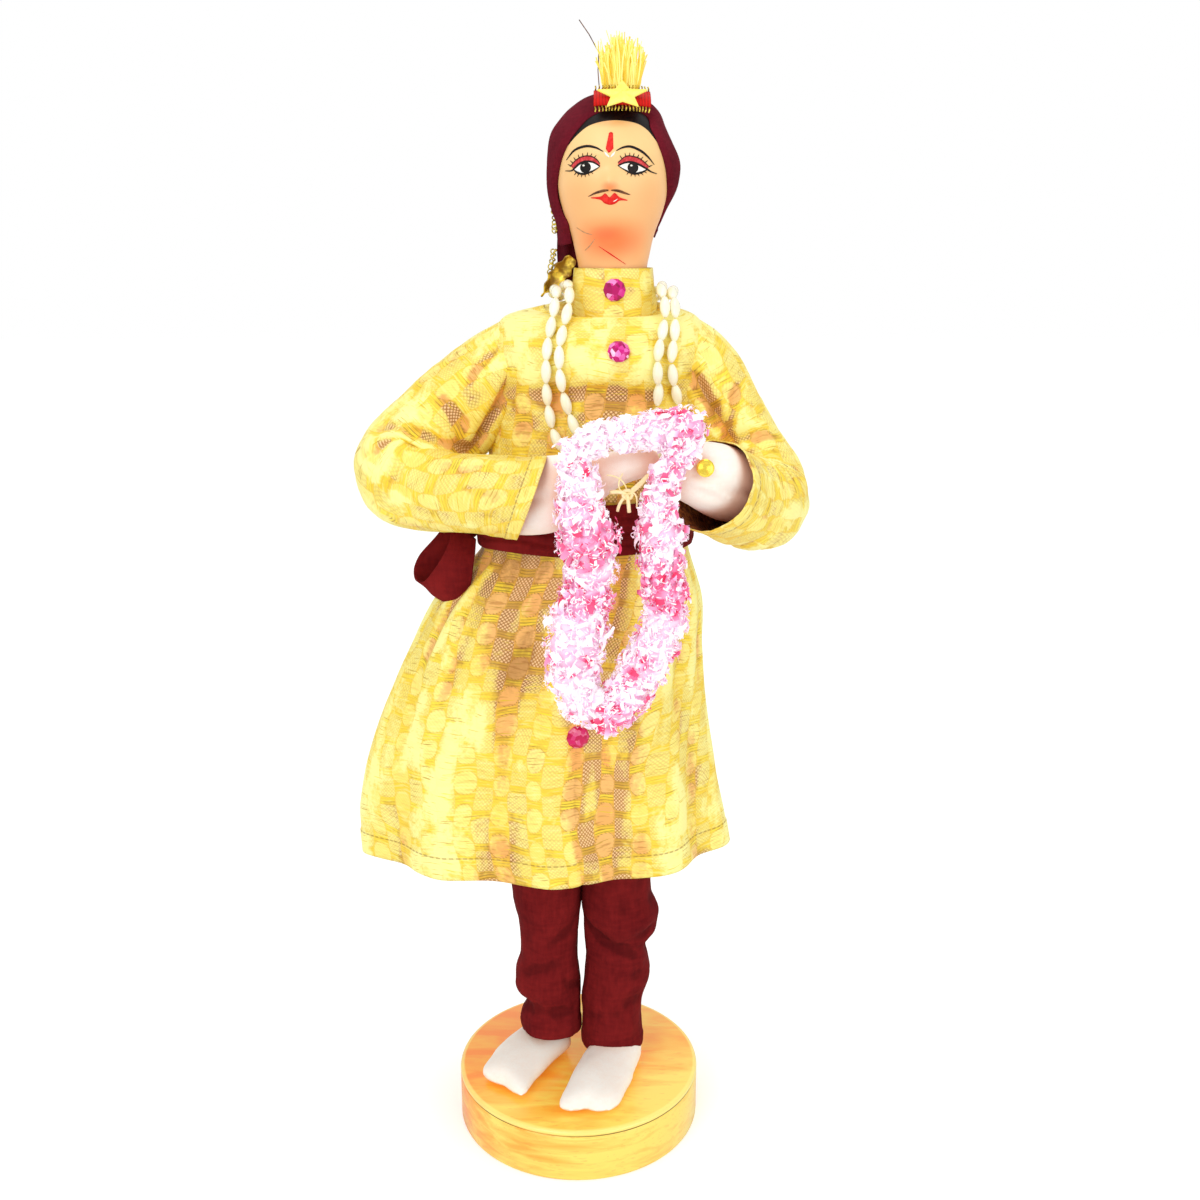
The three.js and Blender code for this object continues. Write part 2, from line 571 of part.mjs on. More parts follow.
// A mitten hand is a turned form pressed flat, reaching from inside the cuff to the fingertips.
function hand(side, by) {
  const { elbow, wrist, fingers, handLength, handHalfHeight: tall } = arms[side];
  const root = stepBack(elbow, wrist, CUFF_DEPTH - GAP + by);
  const mitten = lathe([
    [0, 0],
    [0.8 * tall + by, 0],
    [0.92 * tall + by, 0.25 * handLength],
    [tall + by, 0.45 * handLength],
    [0.9 * tall + by, 0.7 * handLength],
    [0.62 * tall + by, 0.9 * handLength],
    [0.3 * tall + by, handLength + by],
    [0, handLength + 0.6 + 2 * by],
  ], 14).scale(1, 1, HAND_FLATNESS);
  const palm = solid(place(mitten, root, fingers, vec(0, -1, 0)));
  if (side === 'right') return palm;
  const thumbRoot = root.clone().lerp(fingers, 0.45).add(vec(-1, -2.5, -4));
  const thumbTip = root.clone().lerp(fingers, 0.85).add(vec(0, -1.5, -6.5));
  const dome = { startDome: true, endDome: true, sides: 10 };
  return join(palm, solid(limb(thumbRoot, thumbTip, THUMB_RADIUS + by, 0.6 * THUMB_RADIUS + by, dome)));
}

const handReach = (side) => {
  const { elbow, wrist, fingers } = arms[side];
  const root = stepBack(elbow, wrist, CUFF_DEPTH);
  return root.add(fingers.clone().sub(root).setLength(ARM_WIRE_IN_HAND));
};
const wireRoute = new THREE.CatmullRomCurve3([
  handReach('right'),
  stepBack(arms.right.elbow, arms.right.wrist, CUFF_DEPTH + 2),
  arms.right.elbow,
  arms.right.shoulder.clone().add(vec(0, 2, 0)),
  vec(SHOULDER_X, ARM_WIRE_Y, SHOULDER_Z - 14),
  arms.left.shoulder.clone().add(vec(0, 2, 0)),
  arms.left.elbow,
  stepBack(arms.left.elbow, arms.left.wrist, CUFF_DEPTH + 2),
  handReach('left'),
]);
const armWire = (by) => cord(wireRoute, ARM_WIRE_RADIUS + by, 6, 32);
const wireBore = solid(armWire(GAP));

// Torso, spine and head

const spineTop = vec(NECK_X, 0.6, COLLAR_TOP_Z + SPINE_IN_HEAD);
const spineFoot = stepBack(vec(WAIST_X, 0.6, WAIST_Z - 30), spineTop, SPINE_LENGTH);
const spine = (by) => rod(
  stepBack(spineFoot, spineTop, SPINE_LENGTH + by),
  stepBack(spineFoot, spineTop, -by),
  SPINE_RADIUS + by,
);
const spineBore = solid(spine(GAP));

const torsoShrink = -(CLOTH + TORSO_EASE);
const torsoStations = [
  station(HIP_Z, 0.5 * (RIGHT_LEG_X + LEFT_LEG_X), LEG_Y, HIP_HALF_WIDTH - 2, HIP_HALF_DEPTH - 3),
  station(HIP_Z + 6, 0.5 * (RIGHT_LEG_X + LEFT_LEG_X), LEG_Y, HIP_HALF_WIDTH, HIP_HALF_DEPTH),
  station(0.5 * (HIP_Z + WAIST_Z), 0.5 * WAIST_X, 0.5, HIP_HALF_WIDTH + 1.5, HIP_HALF_DEPTH + 2),
  ...bodiceStations.slice(0, -2).map((s) => grown(s, torsoShrink)),
  station(SHOULDER_Z - 4, NECK_X, 0, NECK_HOLE_RADIUS, NECK_HOLE_RADIUS - 1),
];
const torsoBody = (by) => solid(ovalBody(torsoStations.map((s) => grown(s, by)), TORSO_SIDES));

add('torso', cut(torsoBody(0), ...legBores, spineBore, wireBore), STUFFED_COTTON);
add('spine_dowel', spine(0), BARE_WOOD);
add('arm_wire', armWire(0), STEEL_WIRE);
add('head', cut(solid(ovalBody(headStations, HEAD_SIDES, noseSwell)), spineBore), PAINTED_HEAD);

// Tunic: bodice, collar, skirt and sleeves

const bodiceShape = [...bodiceStations, neckline];
const raised = (s, by) => ({ ...grown(s, by), z: s.z + (s.z > WAIST_Z + 0.8 * BODICE_LENGTH ? by : 0) });
const bodiceOuter = (by) => solid(ovalBody(bodiceShape.map((s) => raised(s, by)), TORSO_SIDES));
const armholes = ['right', 'left'].map((side) => armCore(side, GAP));
const bodice = solid(clothTube(bodiceShape, TORSO_SIDES, CLOTH));
add('tunic_bodice', mainBody(cut(bodice, ...armholes)), BROCADE);

const collarFoot = { ...neckline, z: neckline.z + GAP };
const collarTop = station(COLLAR_TOP_Z, NECK_X, 0.4, NECK_RADIUS + CLOTH, NECK_RADIUS + CLOTH);
const collarMiddle = stationAt([collarFoot, collarTop], 0.5 * (collarFoot.z + COLLAR_TOP_Z));
add('collar', clothTube([collarFoot, grown(collarMiddle, -0.3), collarTop], TORSO_SIDES, CLOTH), BROCADE);

add('tunic_skirt', clothTube(skirtStations, SKIRT_SIDES, CLOTH, skirtFold), BROCADE);

const torsoTool = torsoBody(GAP);
const bodiceTool = bodiceOuter(GAP);
for (const side of ['right', 'left']) {
  const shape = arms[side];
  const tube = (by, past) => arm(shape, sleeveRadii(side, by), -past, { sides: 12, startDome: true });
  const wall = cut(tube(GAP, GAP), tube(-CLOTH - GAP, 1));
  add(`${side}_sleeve`, mainBody(cut(tube(0, 0), tube(-CLOTH, 1), bodiceTool)), BROCADE);
  add(`${side}_arm`, mainBody(cut(armCore(side, 0), torsoTool, wireBore)), STUFFED_COTTON);
  add(`${side}_hand`, mainBody(cut(hand(side, 0), armCore(side, GAP), wall, wireBore)), STUFFED_COTTON);
}

// Sash: a band round the waist, a knot on the doll's right hip and one loop that hangs from it

const clothed = [...skirtStations.slice(0, -1), ...bodiceStations];
const sashLowZ = WAIST_Z - SASH_BELOW_WAIST;
const sashRow = (z) => grown(stationAt(clothed, z), GAP + SASH_THICKNESS + 0.15);
const sashStations = [sashRow(sashLowZ), sashRow(WAIST_Z), sashRow(sashLowZ + SASH_WIDTH)];
add('waist_sash', clothTube(sashStations, 32, SASH_THICKNESS), MAROON_COTTON);

const knotAngle = radians(170);
const knotStation = sashRow(WAIST_Z + 1);
const knot = vec(
  knotStation.x + (knotStation.halfWidth + GAP + 0.7 * SASH_KNOT_RADIUS) * Math.cos(knotAngle),
  knotStation.y + (knotStation.halfDepth + GAP + SASH_KNOT_RADIUS) * Math.sin(knotAngle),
  knotStation.z,
);
const knotBall = new THREE.SphereGeometry(SASH_KNOT_RADIUS, 12, 8).scale(0.7, 1, 1.1);
knotBall.translate(knot.x, knot.y, knot.z);
const sashTool = solid(ovalBody(sashStations.map((s) => grown(s, GAP)), 32));
add('sash_knot', mainBody(cut(solid(knotBall), sashTool)), MAROON_COTTON);

// The loop is a ribbon that goes down and comes back up, like a flat drop with a hollow inside.
function ribbonLoop() {
  const half = 0.5 * SASH_LOOP_WIDTH;
  const drop = (inset) => {
    const path = inset ? new THREE.Path() : new THREE.Shape();
    path.moveTo(0, -inset * 1.6);
    path.bezierCurveTo(-half + inset, -0.3 * SASH_LOOP_LENGTH, -half + inset, -SASH_LOOP_LENGTH + inset,
      0, -SASH_LOOP_LENGTH + inset);
    const side = half - inset;
    path.bezierCurveTo(side, -SASH_LOOP_LENGTH + inset, side, -0.3 * SASH_LOOP_LENGTH, 0, -inset * 1.6);
    return path;
  };
  const outline = drop(0);
  outline.holes.push(drop(SASH_RIBBON_THICKNESS));
  const settings = { depth: SASH_RIBBON, bevelEnabled: false, curveSegments: 10 };
  const band = new THREE.ExtrudeGeometry(outline, settings);
  return band.translate(0, 0, -0.5 * SASH_RIBBON).rotateX(Math.PI / 2);
}
const skirtLeft = (z) => stationAt(skirtStations, z).x - stationAt(skirtStations, z).halfWidth;
const skirtLean = skirtLeft(knot.z) - skirtLeft(knot.z - SASH_LOOP_LENGTH);
const loopLean = Math.atan(skirtLean / SASH_LOOP_LENGTH) + radians(8);
const loopTop = vec(knot.x - 2.4, knot.y + 1.5, knot.z - 1.1 * SASH_KNOT_RADIUS - GAP);
const loopShape = ribbonLoop().rotateZ(radians(-38)).rotateY(loopLean);
loopShape.translate(loopTop.x, loopTop.y, loopTop.z);
add('sash_loop', loopShape, MAROON_COTTON);

// Turban: wound cloth with a face opening, a short tail behind the doll's right cheek, and gold edging

function faceOpening() {
  const top = COLLAR_TOP_Z + 0.99 * HEAD_HEIGHT;
  const wide = COLLAR_TOP_Z + 0.6 * HEAD_HEIGHT;
  const low = COLLAR_TOP_Z - 4;
  const half = FACE_OPENING_HALF_WIDTH;
  const x = NECK_X - 0.2;
  const shape = new THREE.Shape().moveTo(x, top);
  shape.bezierCurveTo(x - 0.75 * half, top - 1, x - half, wide + 7, x - half, wide);
  shape.bezierCurveTo(x - half, wide - 10, x - 0.74 * half, low + 12, x - 0.7 * half, low);
  shape.lineTo(x + 0.7 * half, low);
  shape.bezierCurveTo(x + 0.74 * half, low + 12, x + half, wide - 10, x + half, wide);
  shape.bezierCurveTo(x + half, wide + 7, x + 0.75 * half, top - 1, x, top);
  const deep = 3 * HEAD_HALF_DEPTH;
  return solid(plate(shape, deep, FACE_OPENING_BACK - deep));
}

const headTool = headBody(GAP);
const turban = mainBody(cut(turbanBody(0), headTool, faceOpening()));
add('turban', turban, TURBAN_COTTON);

const tailTop = vec(NECK_X - NECK_RADIUS - 4.2, 4.6, COLLAR_TOP_Z + TURBAN_HEM - 2 * GAP);
const tailRow = (down, widen) =>
  station(
    tailTop.z - down,
    tailTop.x - 0.05 * down,
    tailTop.y,
    0.5 * TAIL_THICKNESS * widen,
    0.5 * TAIL_WIDTH * widen,
  );
const tailRows = [
  tailRow(TAIL_LENGTH, 0.85),
  tailRow(0.8 * TAIL_LENGTH, 1.1),
  tailRow(0.4 * TAIL_LENGTH, 0.9),
  tailRow(0, 0.8),
];
add('turban_tail', ovalBody(tailRows, 14), TURBAN_COTTON);

const laceX = tailTop.x - 0.5 * TAIL_THICKNESS - 2 * GAP - LACE_THICKNESS;
const tailLace = new THREE.BoxGeometry(LACE_THICKNESS, LACE_WIDTH, TAIL_LENGTH);
add('tail_lace', tailLace.translate(laceX, tailTop.y, tailTop.z - 0.5 * TAIL_LENGTH), GOLD_TRIM);

// The tail ends in a folded leaf of gold brocade.
const leafOutline = new THREE.Shape([
  [-6.4, -9.6], [-5, -4.6], [-1, -1.4], [2.6, 0], [2.2, -3.2], [-0.2, -6.8], [-3.4, -10.2],
].map(([x, up]) => new THREE.Vector2(tailTop.x + x, tailTop.z - 2.2 + up)));
const leafFront = tailTop.y - 0.55 * TAIL_WIDTH - GAP - LEAF_THICKNESS;
add('tail_leaf', plate(leafOutline, LEAF_THICKNESS, leafFront), GOLD_TRIM);

const trimSkin = (thickness) => cut(turbanBody(GAP + thickness), turbanBody(GAP));
const laceLength = 0.45 * HEAD_HEIGHT;
const laceSlab = new THREE.BoxGeometry(2 * HEAD_HALF_WIDTH, LACE_WIDTH, laceLength);
laceSlab.translate(NECK_X - 2 * HEAD_HALF_WIDTH, tailTop.y, tailTop.z + 2 + 0.5 * laceLength);
add('turban_lace', mainBody(trimSkin(LACE_THICKNESS).intersect(solid(laceSlab))), GOLD_TRIM);

// Plume: a ribbon, a star and a tuft of gold strands on the front of the turban

const plumeX = NECK_X + PLUME_X;
const plumeOut = vec(0, -Math.cos(radians(PLUME_TILT)), Math.sin(radians(PLUME_TILT)));
const plumeUp = vec(0, Math.sin(radians(PLUME_TILT)), Math.cos(radians(PLUME_TILT)));

// Where a line that leaves the head's middle along the plume's lean meets the turban, grown by any amount.
function turbanSurface(by) {
  const start = vec(plumeX, 0, COLLAR_TOP_Z + 0.69 * HEAD_HEIGHT);
  const probe = solid(rod(start, start.clone().addScaledVector(plumeOut, 3 * HEAD_HALF_DEPTH), 0.2, 6));
  const box = probe.intersect(turbanBody(by)).boundingBox();
  return vec(plumeX, box.min[1], box.max[2]);
}

// Moves a shape from its own XY plane to lie on the plume's slope.
function onPlume(geometry, origin) {
  const across = vec(1, 0, 0);
  const frame = new THREE.Matrix4().makeBasis(across, plumeUp, plumeOut).setPosition(origin);
  return solid(geometry.applyMatrix4(frame));
}

const bandSeat = turbanSurface(GAP);
const bandBlock = new THREE.BoxGeometry(BAND_WIDTH, BAND_LENGTH, 4 * HEAD_HALF_DEPTH);
const bandReach = onPlume(bandBlock.translate(0, 0, HEAD_HALF_DEPTH), bandSeat);
const band = mainBody(trimSkin(BAND_THICKNESS).intersect(bandReach));
add('plume_band', band, RED_RIBBON);

const bandTool = turbanBody(2 * GAP + BAND_THICKNESS);
const starPoints = Array.from({ length: 10 }, (_, i) => {
  const radius = i % 2 ? 0.42 * STAR_RADIUS : STAR_RADIUS;
  const angle = Math.PI / 2 + (i * Math.PI) / 5;
  return new THREE.Vector2(radius * Math.cos(angle), radius * Math.sin(angle));
});
const starSettings = { depth: STAR_THICKNESS, bevelEnabled: false };
const starPlate = new THREE.ExtrudeGeometry(new THREE.Shape(starPoints), starSettings);
const starSeat = turbanSurface(2 * GAP + BAND_THICKNESS).addScaledVector(plumeOut, 0.05);
const star = onPlume(starPlate, starSeat.clone().addScaledVector(plumeUp, -STAR_DROP));
add('plume_star', mainBody(cut(star, bandTool)), GOLD_TRIM);

// Strands fan out from a row of roots, so that none crosses another.
function tuft() {
  const behind = STAR_RADIUS * plumeUp.y + STAR_THICKNESS + GAP + 0.5 * TUFT_DEPTH;
  const root = vec(plumeX, starSeat.y + behind, HEAD_TOP_Z + TURBAN_TOP + GAP);
  const block = new THREE.BoxGeometry(TUFT_WIDTH, TUFT_DEPTH, 2.4).translate(root.x, root.y, root.z);
  const strands = [];
  for (let row = 0; row < TUFT_ROWS; row++) {
    for (let column = 0; column < TUFT_COLUMNS; column++) {
      const u = (column + 0.5 + 0.25 * (row % 2)) / (TUFT_COLUMNS + 0.25) - 0.5;
      const w = (row + 0.5) / TUFT_ROWS - 0.5;
      const tall = TUFT_HEIGHT * (0.72 + 0.28 * Math.abs(Math.sin(7.3 * column + 4.1 * row)) - 0.5 * u * u);
      const foot = root.clone().add(vec(0.94 * u * TUFT_WIDTH, w * TUFT_DEPTH, 1));
      const tip = foot.clone().add(vec(TUFT_SPREAD * u, TUFT_SPREAD * 0.5 * w, tall));
      strands.push(solid(limb(foot, tip, STRAND_RADIUS, 0.6 * STRAND_RADIUS, { sides: 3 })));
    }
  }
  return cut(join(solid(block), ...strands), turbanBody(GAP), band, star);
}
add('plume_tuft', mainBody(tuft()), GOLD_TRIM);

// Gem buttons: flat-backed faceted stones

function gem(seat, outward) {
  const stone = lathe([
    [0, 0],
    [GEM_RADIUS, 0],
    [GEM_RADIUS, 0.25 * GEM_HEIGHT],
    [0.6 * GEM_RADIUS, 0.92 * GEM_HEIGHT],
    [0, GEM_HEIGHT],
  ], 10);
  return place(stone, seat, seat.clone().add(outward));
}
const collarGemZ = COLLAR_TOP_Z - COLLAR_GEM_BELOW_TOP;
const collarAtGem = stationAt([collarFoot, collarTop], collarGemZ);
const collarGemY = collarAtGem.y - collarAtGem.halfDepth - 2 * GAP;
add('collar_gem', gem(vec(NECK_X, collarGemY, collarGemZ), vec(0, -1, 0)), RUBY_GEM);

const chestGemZ = SHOULDER_Z - CHEST_GEM_BELOW_SHOULDER;
const chestGemX = NECK_X + 1;
const chestSlope = (chestY(chestGemX, chestGemZ + 3) - chestY(chestGemX, chestGemZ - 3)) / 6;
const chestOut = vec(0, -1, chestSlope).normalize();
const chestSeat = vec(chestGemX, chestY(chestGemX, chestGemZ), chestGemZ).addScaledVector(chestOut, 2 * GAP);
add('chest_gem', gem(chestSeat, chestOut), RUBY_GEM);

const skirtGemZ = HEM_Z + SKIRT_GEM_ABOVE_HEM;
const skirtRow = stationAt(skirtStations, skirtGemZ);
const skirtAngle = FRONT + Math.asin((SKIRT_GEM_X - skirtRow.x) / skirtRow.halfWidth);
const skirtFront = (z) => {
  const s = stationAt(skirtStations, z);
  return s.y + (s.halfDepth + skirtFold(skirtAngle, s)) * Math.sin(skirtAngle);
};
const skirtSlope = (skirtFront(skirtGemZ + 4) - skirtFront(skirtGemZ - 4)) / 8;
const skirtOut = vec(0.22, -1, skirtSlope).normalize();
const skirtSeat = vec(SKIRT_GEM_X, skirtFront(skirtGemZ), skirtGemZ).addScaledVector(skirtOut, 3.5 * GAP);
add('skirt_gem', gem(skirtSeat, skirtOut), RUBY_GEM);

// Necklace: two strands of long beads that lie on the shoulders and chest

// The height of the clothed shoulders at a place near the neck.
function shoulderTop(x, y) {
  const reach = (s) => Math.hypot((x - s.x) / s.halfWidth, (y - s.y) / s.halfDepth);
  const level = (s) => s.z + (s.tilt * (y - s.y)) / s.halfDepth;
  const above = bodiceShape.findIndex((s) => reach(s) > 1);
  const [low, high] = [bodiceShape[above - 1], bodiceShape[above]];
  return THREE.MathUtils.mapLinear(1, reach(low), reach(high), level(low), level(high));
}

// Moves a point of the clothed shoulders or chest straight out from the cloth.
function offCloth(p, lift) {
  const reach = (x, y, z) => {
    const s = stationAt(bodiceShape, z);
    const level = z - (s.tilt * (y - s.y)) / s.halfDepth;
    const t = stationAt(bodiceShape, level);
    return Math.hypot((x - t.x) / t.halfWidth, (y - t.y) / t.halfDepth);
  };
  const step = 0.6;
  const out = vec(
    reach(p.x + step, p.y, p.z) - reach(p.x - step, p.y, p.z),
    reach(p.x, p.y + step, p.z) - reach(p.x, p.y - step, p.z),
    reach(p.x, p.y, p.z + step) - reach(p.x, p.y, p.z - step),
  );
  return p.clone().addScaledVector(out.normalize(), lift);
}

function necklacePath(outward) {
  const lift = BEAD_RADIUS + 2 * GAP;
  const round = NECK_HOLE_RADIUS + BEAD_RADIUS + 2 * GAP + outward * (2 * BEAD_RADIUS + GAP);
  const half = NECKLACE_HALF_WIDTH + outward * STRAND_APART;
  const bottom = SHOULDER_Z - NECKLACE_DROP + (1 - outward) * STRAND_APART;
  const chest = (side, t) => {
    const z = THREE.MathUtils.lerp(SHOULDER_Z - 7, bottom, t);
    const x = NECK_X + side * half * Math.sqrt(1 - t ** 4);
    return offCloth(vec(x, chestY(x, z), z), lift);
  };
  const neck = (degrees) => {
    const x = NECK_X + round * Math.cos(radians(degrees));
    const y = round * Math.sin(radians(degrees));
    return offCloth(vec(x, y, shoulderTop(x, y)), 1.15 * lift);
  };
  const down = [0, 0.2, 0.4, 0.6, 0.75, 0.9];
  return new THREE.CatmullRomCurve3([
    ...[90, 112, 134, 156, 178, 200, 217 - 6 * outward].map(neck),
    ...down.map((t) => chest(-1, t)),
    chest(1, 1),
    ...down.map((t) => chest(1, t)).reverse(),
    ...[323 + 6 * outward, 340, 2, 24, 46, 68].map(neck),
  ], true);
}

// A ring of points about a curve, with the radius given for each direction.
function ringOn(curve, t, count, radiusAt) {
  const along = curve.getTangentAt(t);
  const out = vec(0, -1, 0).addScaledVector(along, along.y).normalize();
  const across = along.clone().cross(out);
  return Array.from({ length: count }, (_, i) => {
    const angle = (2 * Math.PI * i) / count;
    const p = curve.getPointAt(t).addScaledVector(out, radiusAt(angle) * Math.cos(angle));
    return p.addScaledVector(across, radiusAt(angle) * Math.sin(angle));
  });
}

// Beads touch end to end on their thread, so a strand is one closed chain.
function beadStrand(outward) {
  const path = necklacePath(outward);
  const count = Math.round(path.getLength() / BEAD_LENGTH);
  const outline = [[0, 0.4], [0.3, 1], [0.7, 1]];
  const rings = [];
  for (let bead = 0; bead < count; bead++) {
    outline.forEach(([t, share]) => {
      rings.push(ringOn(path, (bead + t) / count, 5, () => share * BEAD_RADIUS));
    });
  }
  return mainBody(cut(solid(loft(rings, true)), bodiceTool));
}
add('pearl_strand_outer', beadStrand(1), PEARL);
add('pearl_strand_inner', beadStrand(0), PEARL);

// Garland: ruffled flowers strung in a loop over the hands, and the raffia that ties it

const garlandTopZ = WAIST_Z + GARLAND_TOP;
const garlandPoint = (x, down) =>
  vec(GARLAND_X + x * GARLAND_HALF_WIDTH, GARLAND_Y, garlandTopZ - down * GARLAND_LENGTH);
const garlandPath = new THREE.CatmullRomCurve3([
  garlandPoint(0.1, 0),
  garlandPoint(-0.75, 0.05),
  garlandPoint(-1, 0.22),
  garlandPoint(-0.9, 0.42),
  garlandPoint(-1.12, 0.62),
  garlandPoint(-1.08, 0.8),
  garlandPoint(-0.4, 1),
  garlandPoint(0.42, 0.93),
  garlandPoint(0.88, 0.74),
  garlandPoint(1.05, 0.54),
  garlandPoint(1, 0.34),
  garlandPoint(1.12, 0.16),
  garlandPoint(1.2, 0),
], true);

const tieKnot = garlandPoint(0.05, 0.2).add(vec(0, 1.5, 0));
const tieEnds = [
  garlandPoint(-0.62, 0.235),
  garlandPoint(0.7, 0.165),
  garlandPoint(0.15, 0.27),
  garlandPoint(0.45, 0.135),
];
function tie(by) {
  const knotForm = new THREE.SphereGeometry(2.2 * TIE_RADIUS + by, 8, 6);
  knotForm.translate(tieKnot.x, tieKnot.y, tieKnot.z);
  const dome = { endDome: true, sides: 6 };
  const ends = tieEnds.map((end) => solid(limb(tieKnot, end, TIE_RADIUS + by, 0.7 * TIE_RADIUS + by, dome)));
  return join(solid(knotForm), ...ends);
}

// Each flower is a ruffle about the thread: full in the middle, tucked in where it meets the next one.
function garland() {
  const count = Math.round(garlandPath.getLength() / FLOWER_SPACING);
  const rings = [];
  for (let i = 0; i < 2 * count; i++) {
    const t = i / (2 * count);
    const x = garlandPath.getPointAt(t).x - GARLAND_X;
    const side = THREE.MathUtils.smoothstep(x, -GARLAND_HALF_WIDTH, GARLAND_HALF_WIDTH);
    const even = THREE.MathUtils.lerp(GARLAND_RIGHT_RADIUS, GARLAND_LEFT_RADIUS, side);
    const full = i % 2 ? 1 : 0.76;
    const petal = (angle) => even * full * (1 + 0.09 * Math.cos(3 * angle + 1.7 * i));
    rings.push(ringOn(garlandPath, t, 10, petal));
  }
  return cut(solid(loft(rings, true)), hand('right', GAP), hand('left', GAP), tie(GAP));
}
add('garland_flowers', mainBody(garland()), FLOWERS);
add('garland_tie', mainBody(cut(tie(0), hand('right', GAP), hand('left', GAP))), RAFFIA);

// A gold sequin is sewn to the back of the doll's left hand.
const { elbow, wrist, fingers } = arms.left;
const leftRoot = stepBack(elbow, wrist, CUFF_DEPTH - GAP);
const sequinOut = vec(-0.15, -1, 0.25).normalize();
const sequinLine = leftRoot.clone().lerp(fingers, 0.45).add(vec(0, 0, 4.5));
const sequinPin = rod(sequinLine, sequinLine.clone().addScaledVector(sequinOut, 30), 0.2, 6);
const sequinProbe = solid(sequinPin).intersect(hand('left', 0));
const sequinSeat = vec(sequinLine.x, sequinProbe.boundingBox().min[1], sequinLine.z);
sequinSeat.addScaledVector(sequinOut, 2 * GAP);
const sequinForm = lathe([
  [0, 0],
  [SEQUIN_RADIUS, 0.3],
  [SEQUIN_RADIUS, 0.7],
  [0.5 * SEQUIN_RADIUS, 1],
  [0, 0.6],
], 12);
const sequinBody = solid(place(sequinForm, sequinSeat, sequinSeat.clone().add(sequinOut)));
add('hand_sequin', cut(sequinBody, hand('left', GAP)), GOLD_TRIM);

export default doll;
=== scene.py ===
# Folk costume doll in gold brocade, standing on a turned base and holding a flower garland.
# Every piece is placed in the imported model's own frame: +Z up, the doll faces -Y, its right hand is on -X.
# Shapes are written in millimetres, and what lamps, camera and shaders take in metres.
import math
import random

import bmesh
import bpy
from mathutils import Matrix, Vector, noise


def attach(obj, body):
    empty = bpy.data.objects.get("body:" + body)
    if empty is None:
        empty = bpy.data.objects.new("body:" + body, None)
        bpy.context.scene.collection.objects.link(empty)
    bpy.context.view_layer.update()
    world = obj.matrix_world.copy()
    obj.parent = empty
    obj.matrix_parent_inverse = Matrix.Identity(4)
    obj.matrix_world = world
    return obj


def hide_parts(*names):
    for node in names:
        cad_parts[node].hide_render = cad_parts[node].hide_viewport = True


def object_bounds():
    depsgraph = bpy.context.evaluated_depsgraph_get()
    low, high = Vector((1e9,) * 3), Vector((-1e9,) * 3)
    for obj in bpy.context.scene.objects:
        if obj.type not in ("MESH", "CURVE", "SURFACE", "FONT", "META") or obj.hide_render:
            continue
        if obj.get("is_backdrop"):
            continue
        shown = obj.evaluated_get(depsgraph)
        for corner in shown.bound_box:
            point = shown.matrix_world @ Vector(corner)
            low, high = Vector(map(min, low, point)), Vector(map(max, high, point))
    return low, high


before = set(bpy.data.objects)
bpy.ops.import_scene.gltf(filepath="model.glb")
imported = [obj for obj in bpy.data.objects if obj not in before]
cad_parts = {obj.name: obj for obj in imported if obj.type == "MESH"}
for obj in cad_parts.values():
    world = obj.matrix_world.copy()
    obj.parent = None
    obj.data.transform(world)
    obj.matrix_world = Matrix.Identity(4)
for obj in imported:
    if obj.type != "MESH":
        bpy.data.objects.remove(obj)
solid_low, solid_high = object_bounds()
bpy.ops.object.select_all(action="DESELECT")
scene = bpy.context.scene

MM = 0.001
TURN = 2 * math.pi


# Materials


def colour(code):
    """A written sRGB colour as the linear values that shaders take."""
    parts = [int(code[i : i + 2], 16) / 255 for i in (1, 3, 5)]
    linear = [p / 12.92 if p <= 0.04045 else ((p + 0.055) / 1.055) ** 2.4 for p in parts]
    return (*linear, 1)


def feed(tree, goal, value):
    """Links an input to a socket, or writes a number or a colour code on it."""
    if isinstance(value, bpy.types.NodeSocket):
        tree.links.new(value, goal)
    else:
        goal.default_value = colour(value) if isinstance(value, str) else value


def add_node(tree, kind, inputs=None, **settings):
    made = tree.nodes.new("ShaderNode" + kind)
    for key, value in settings.items():
        setattr(made, key, value)
    for key, value in (inputs or {}).items():
        feed(tree, made.inputs[key], value)
    return made


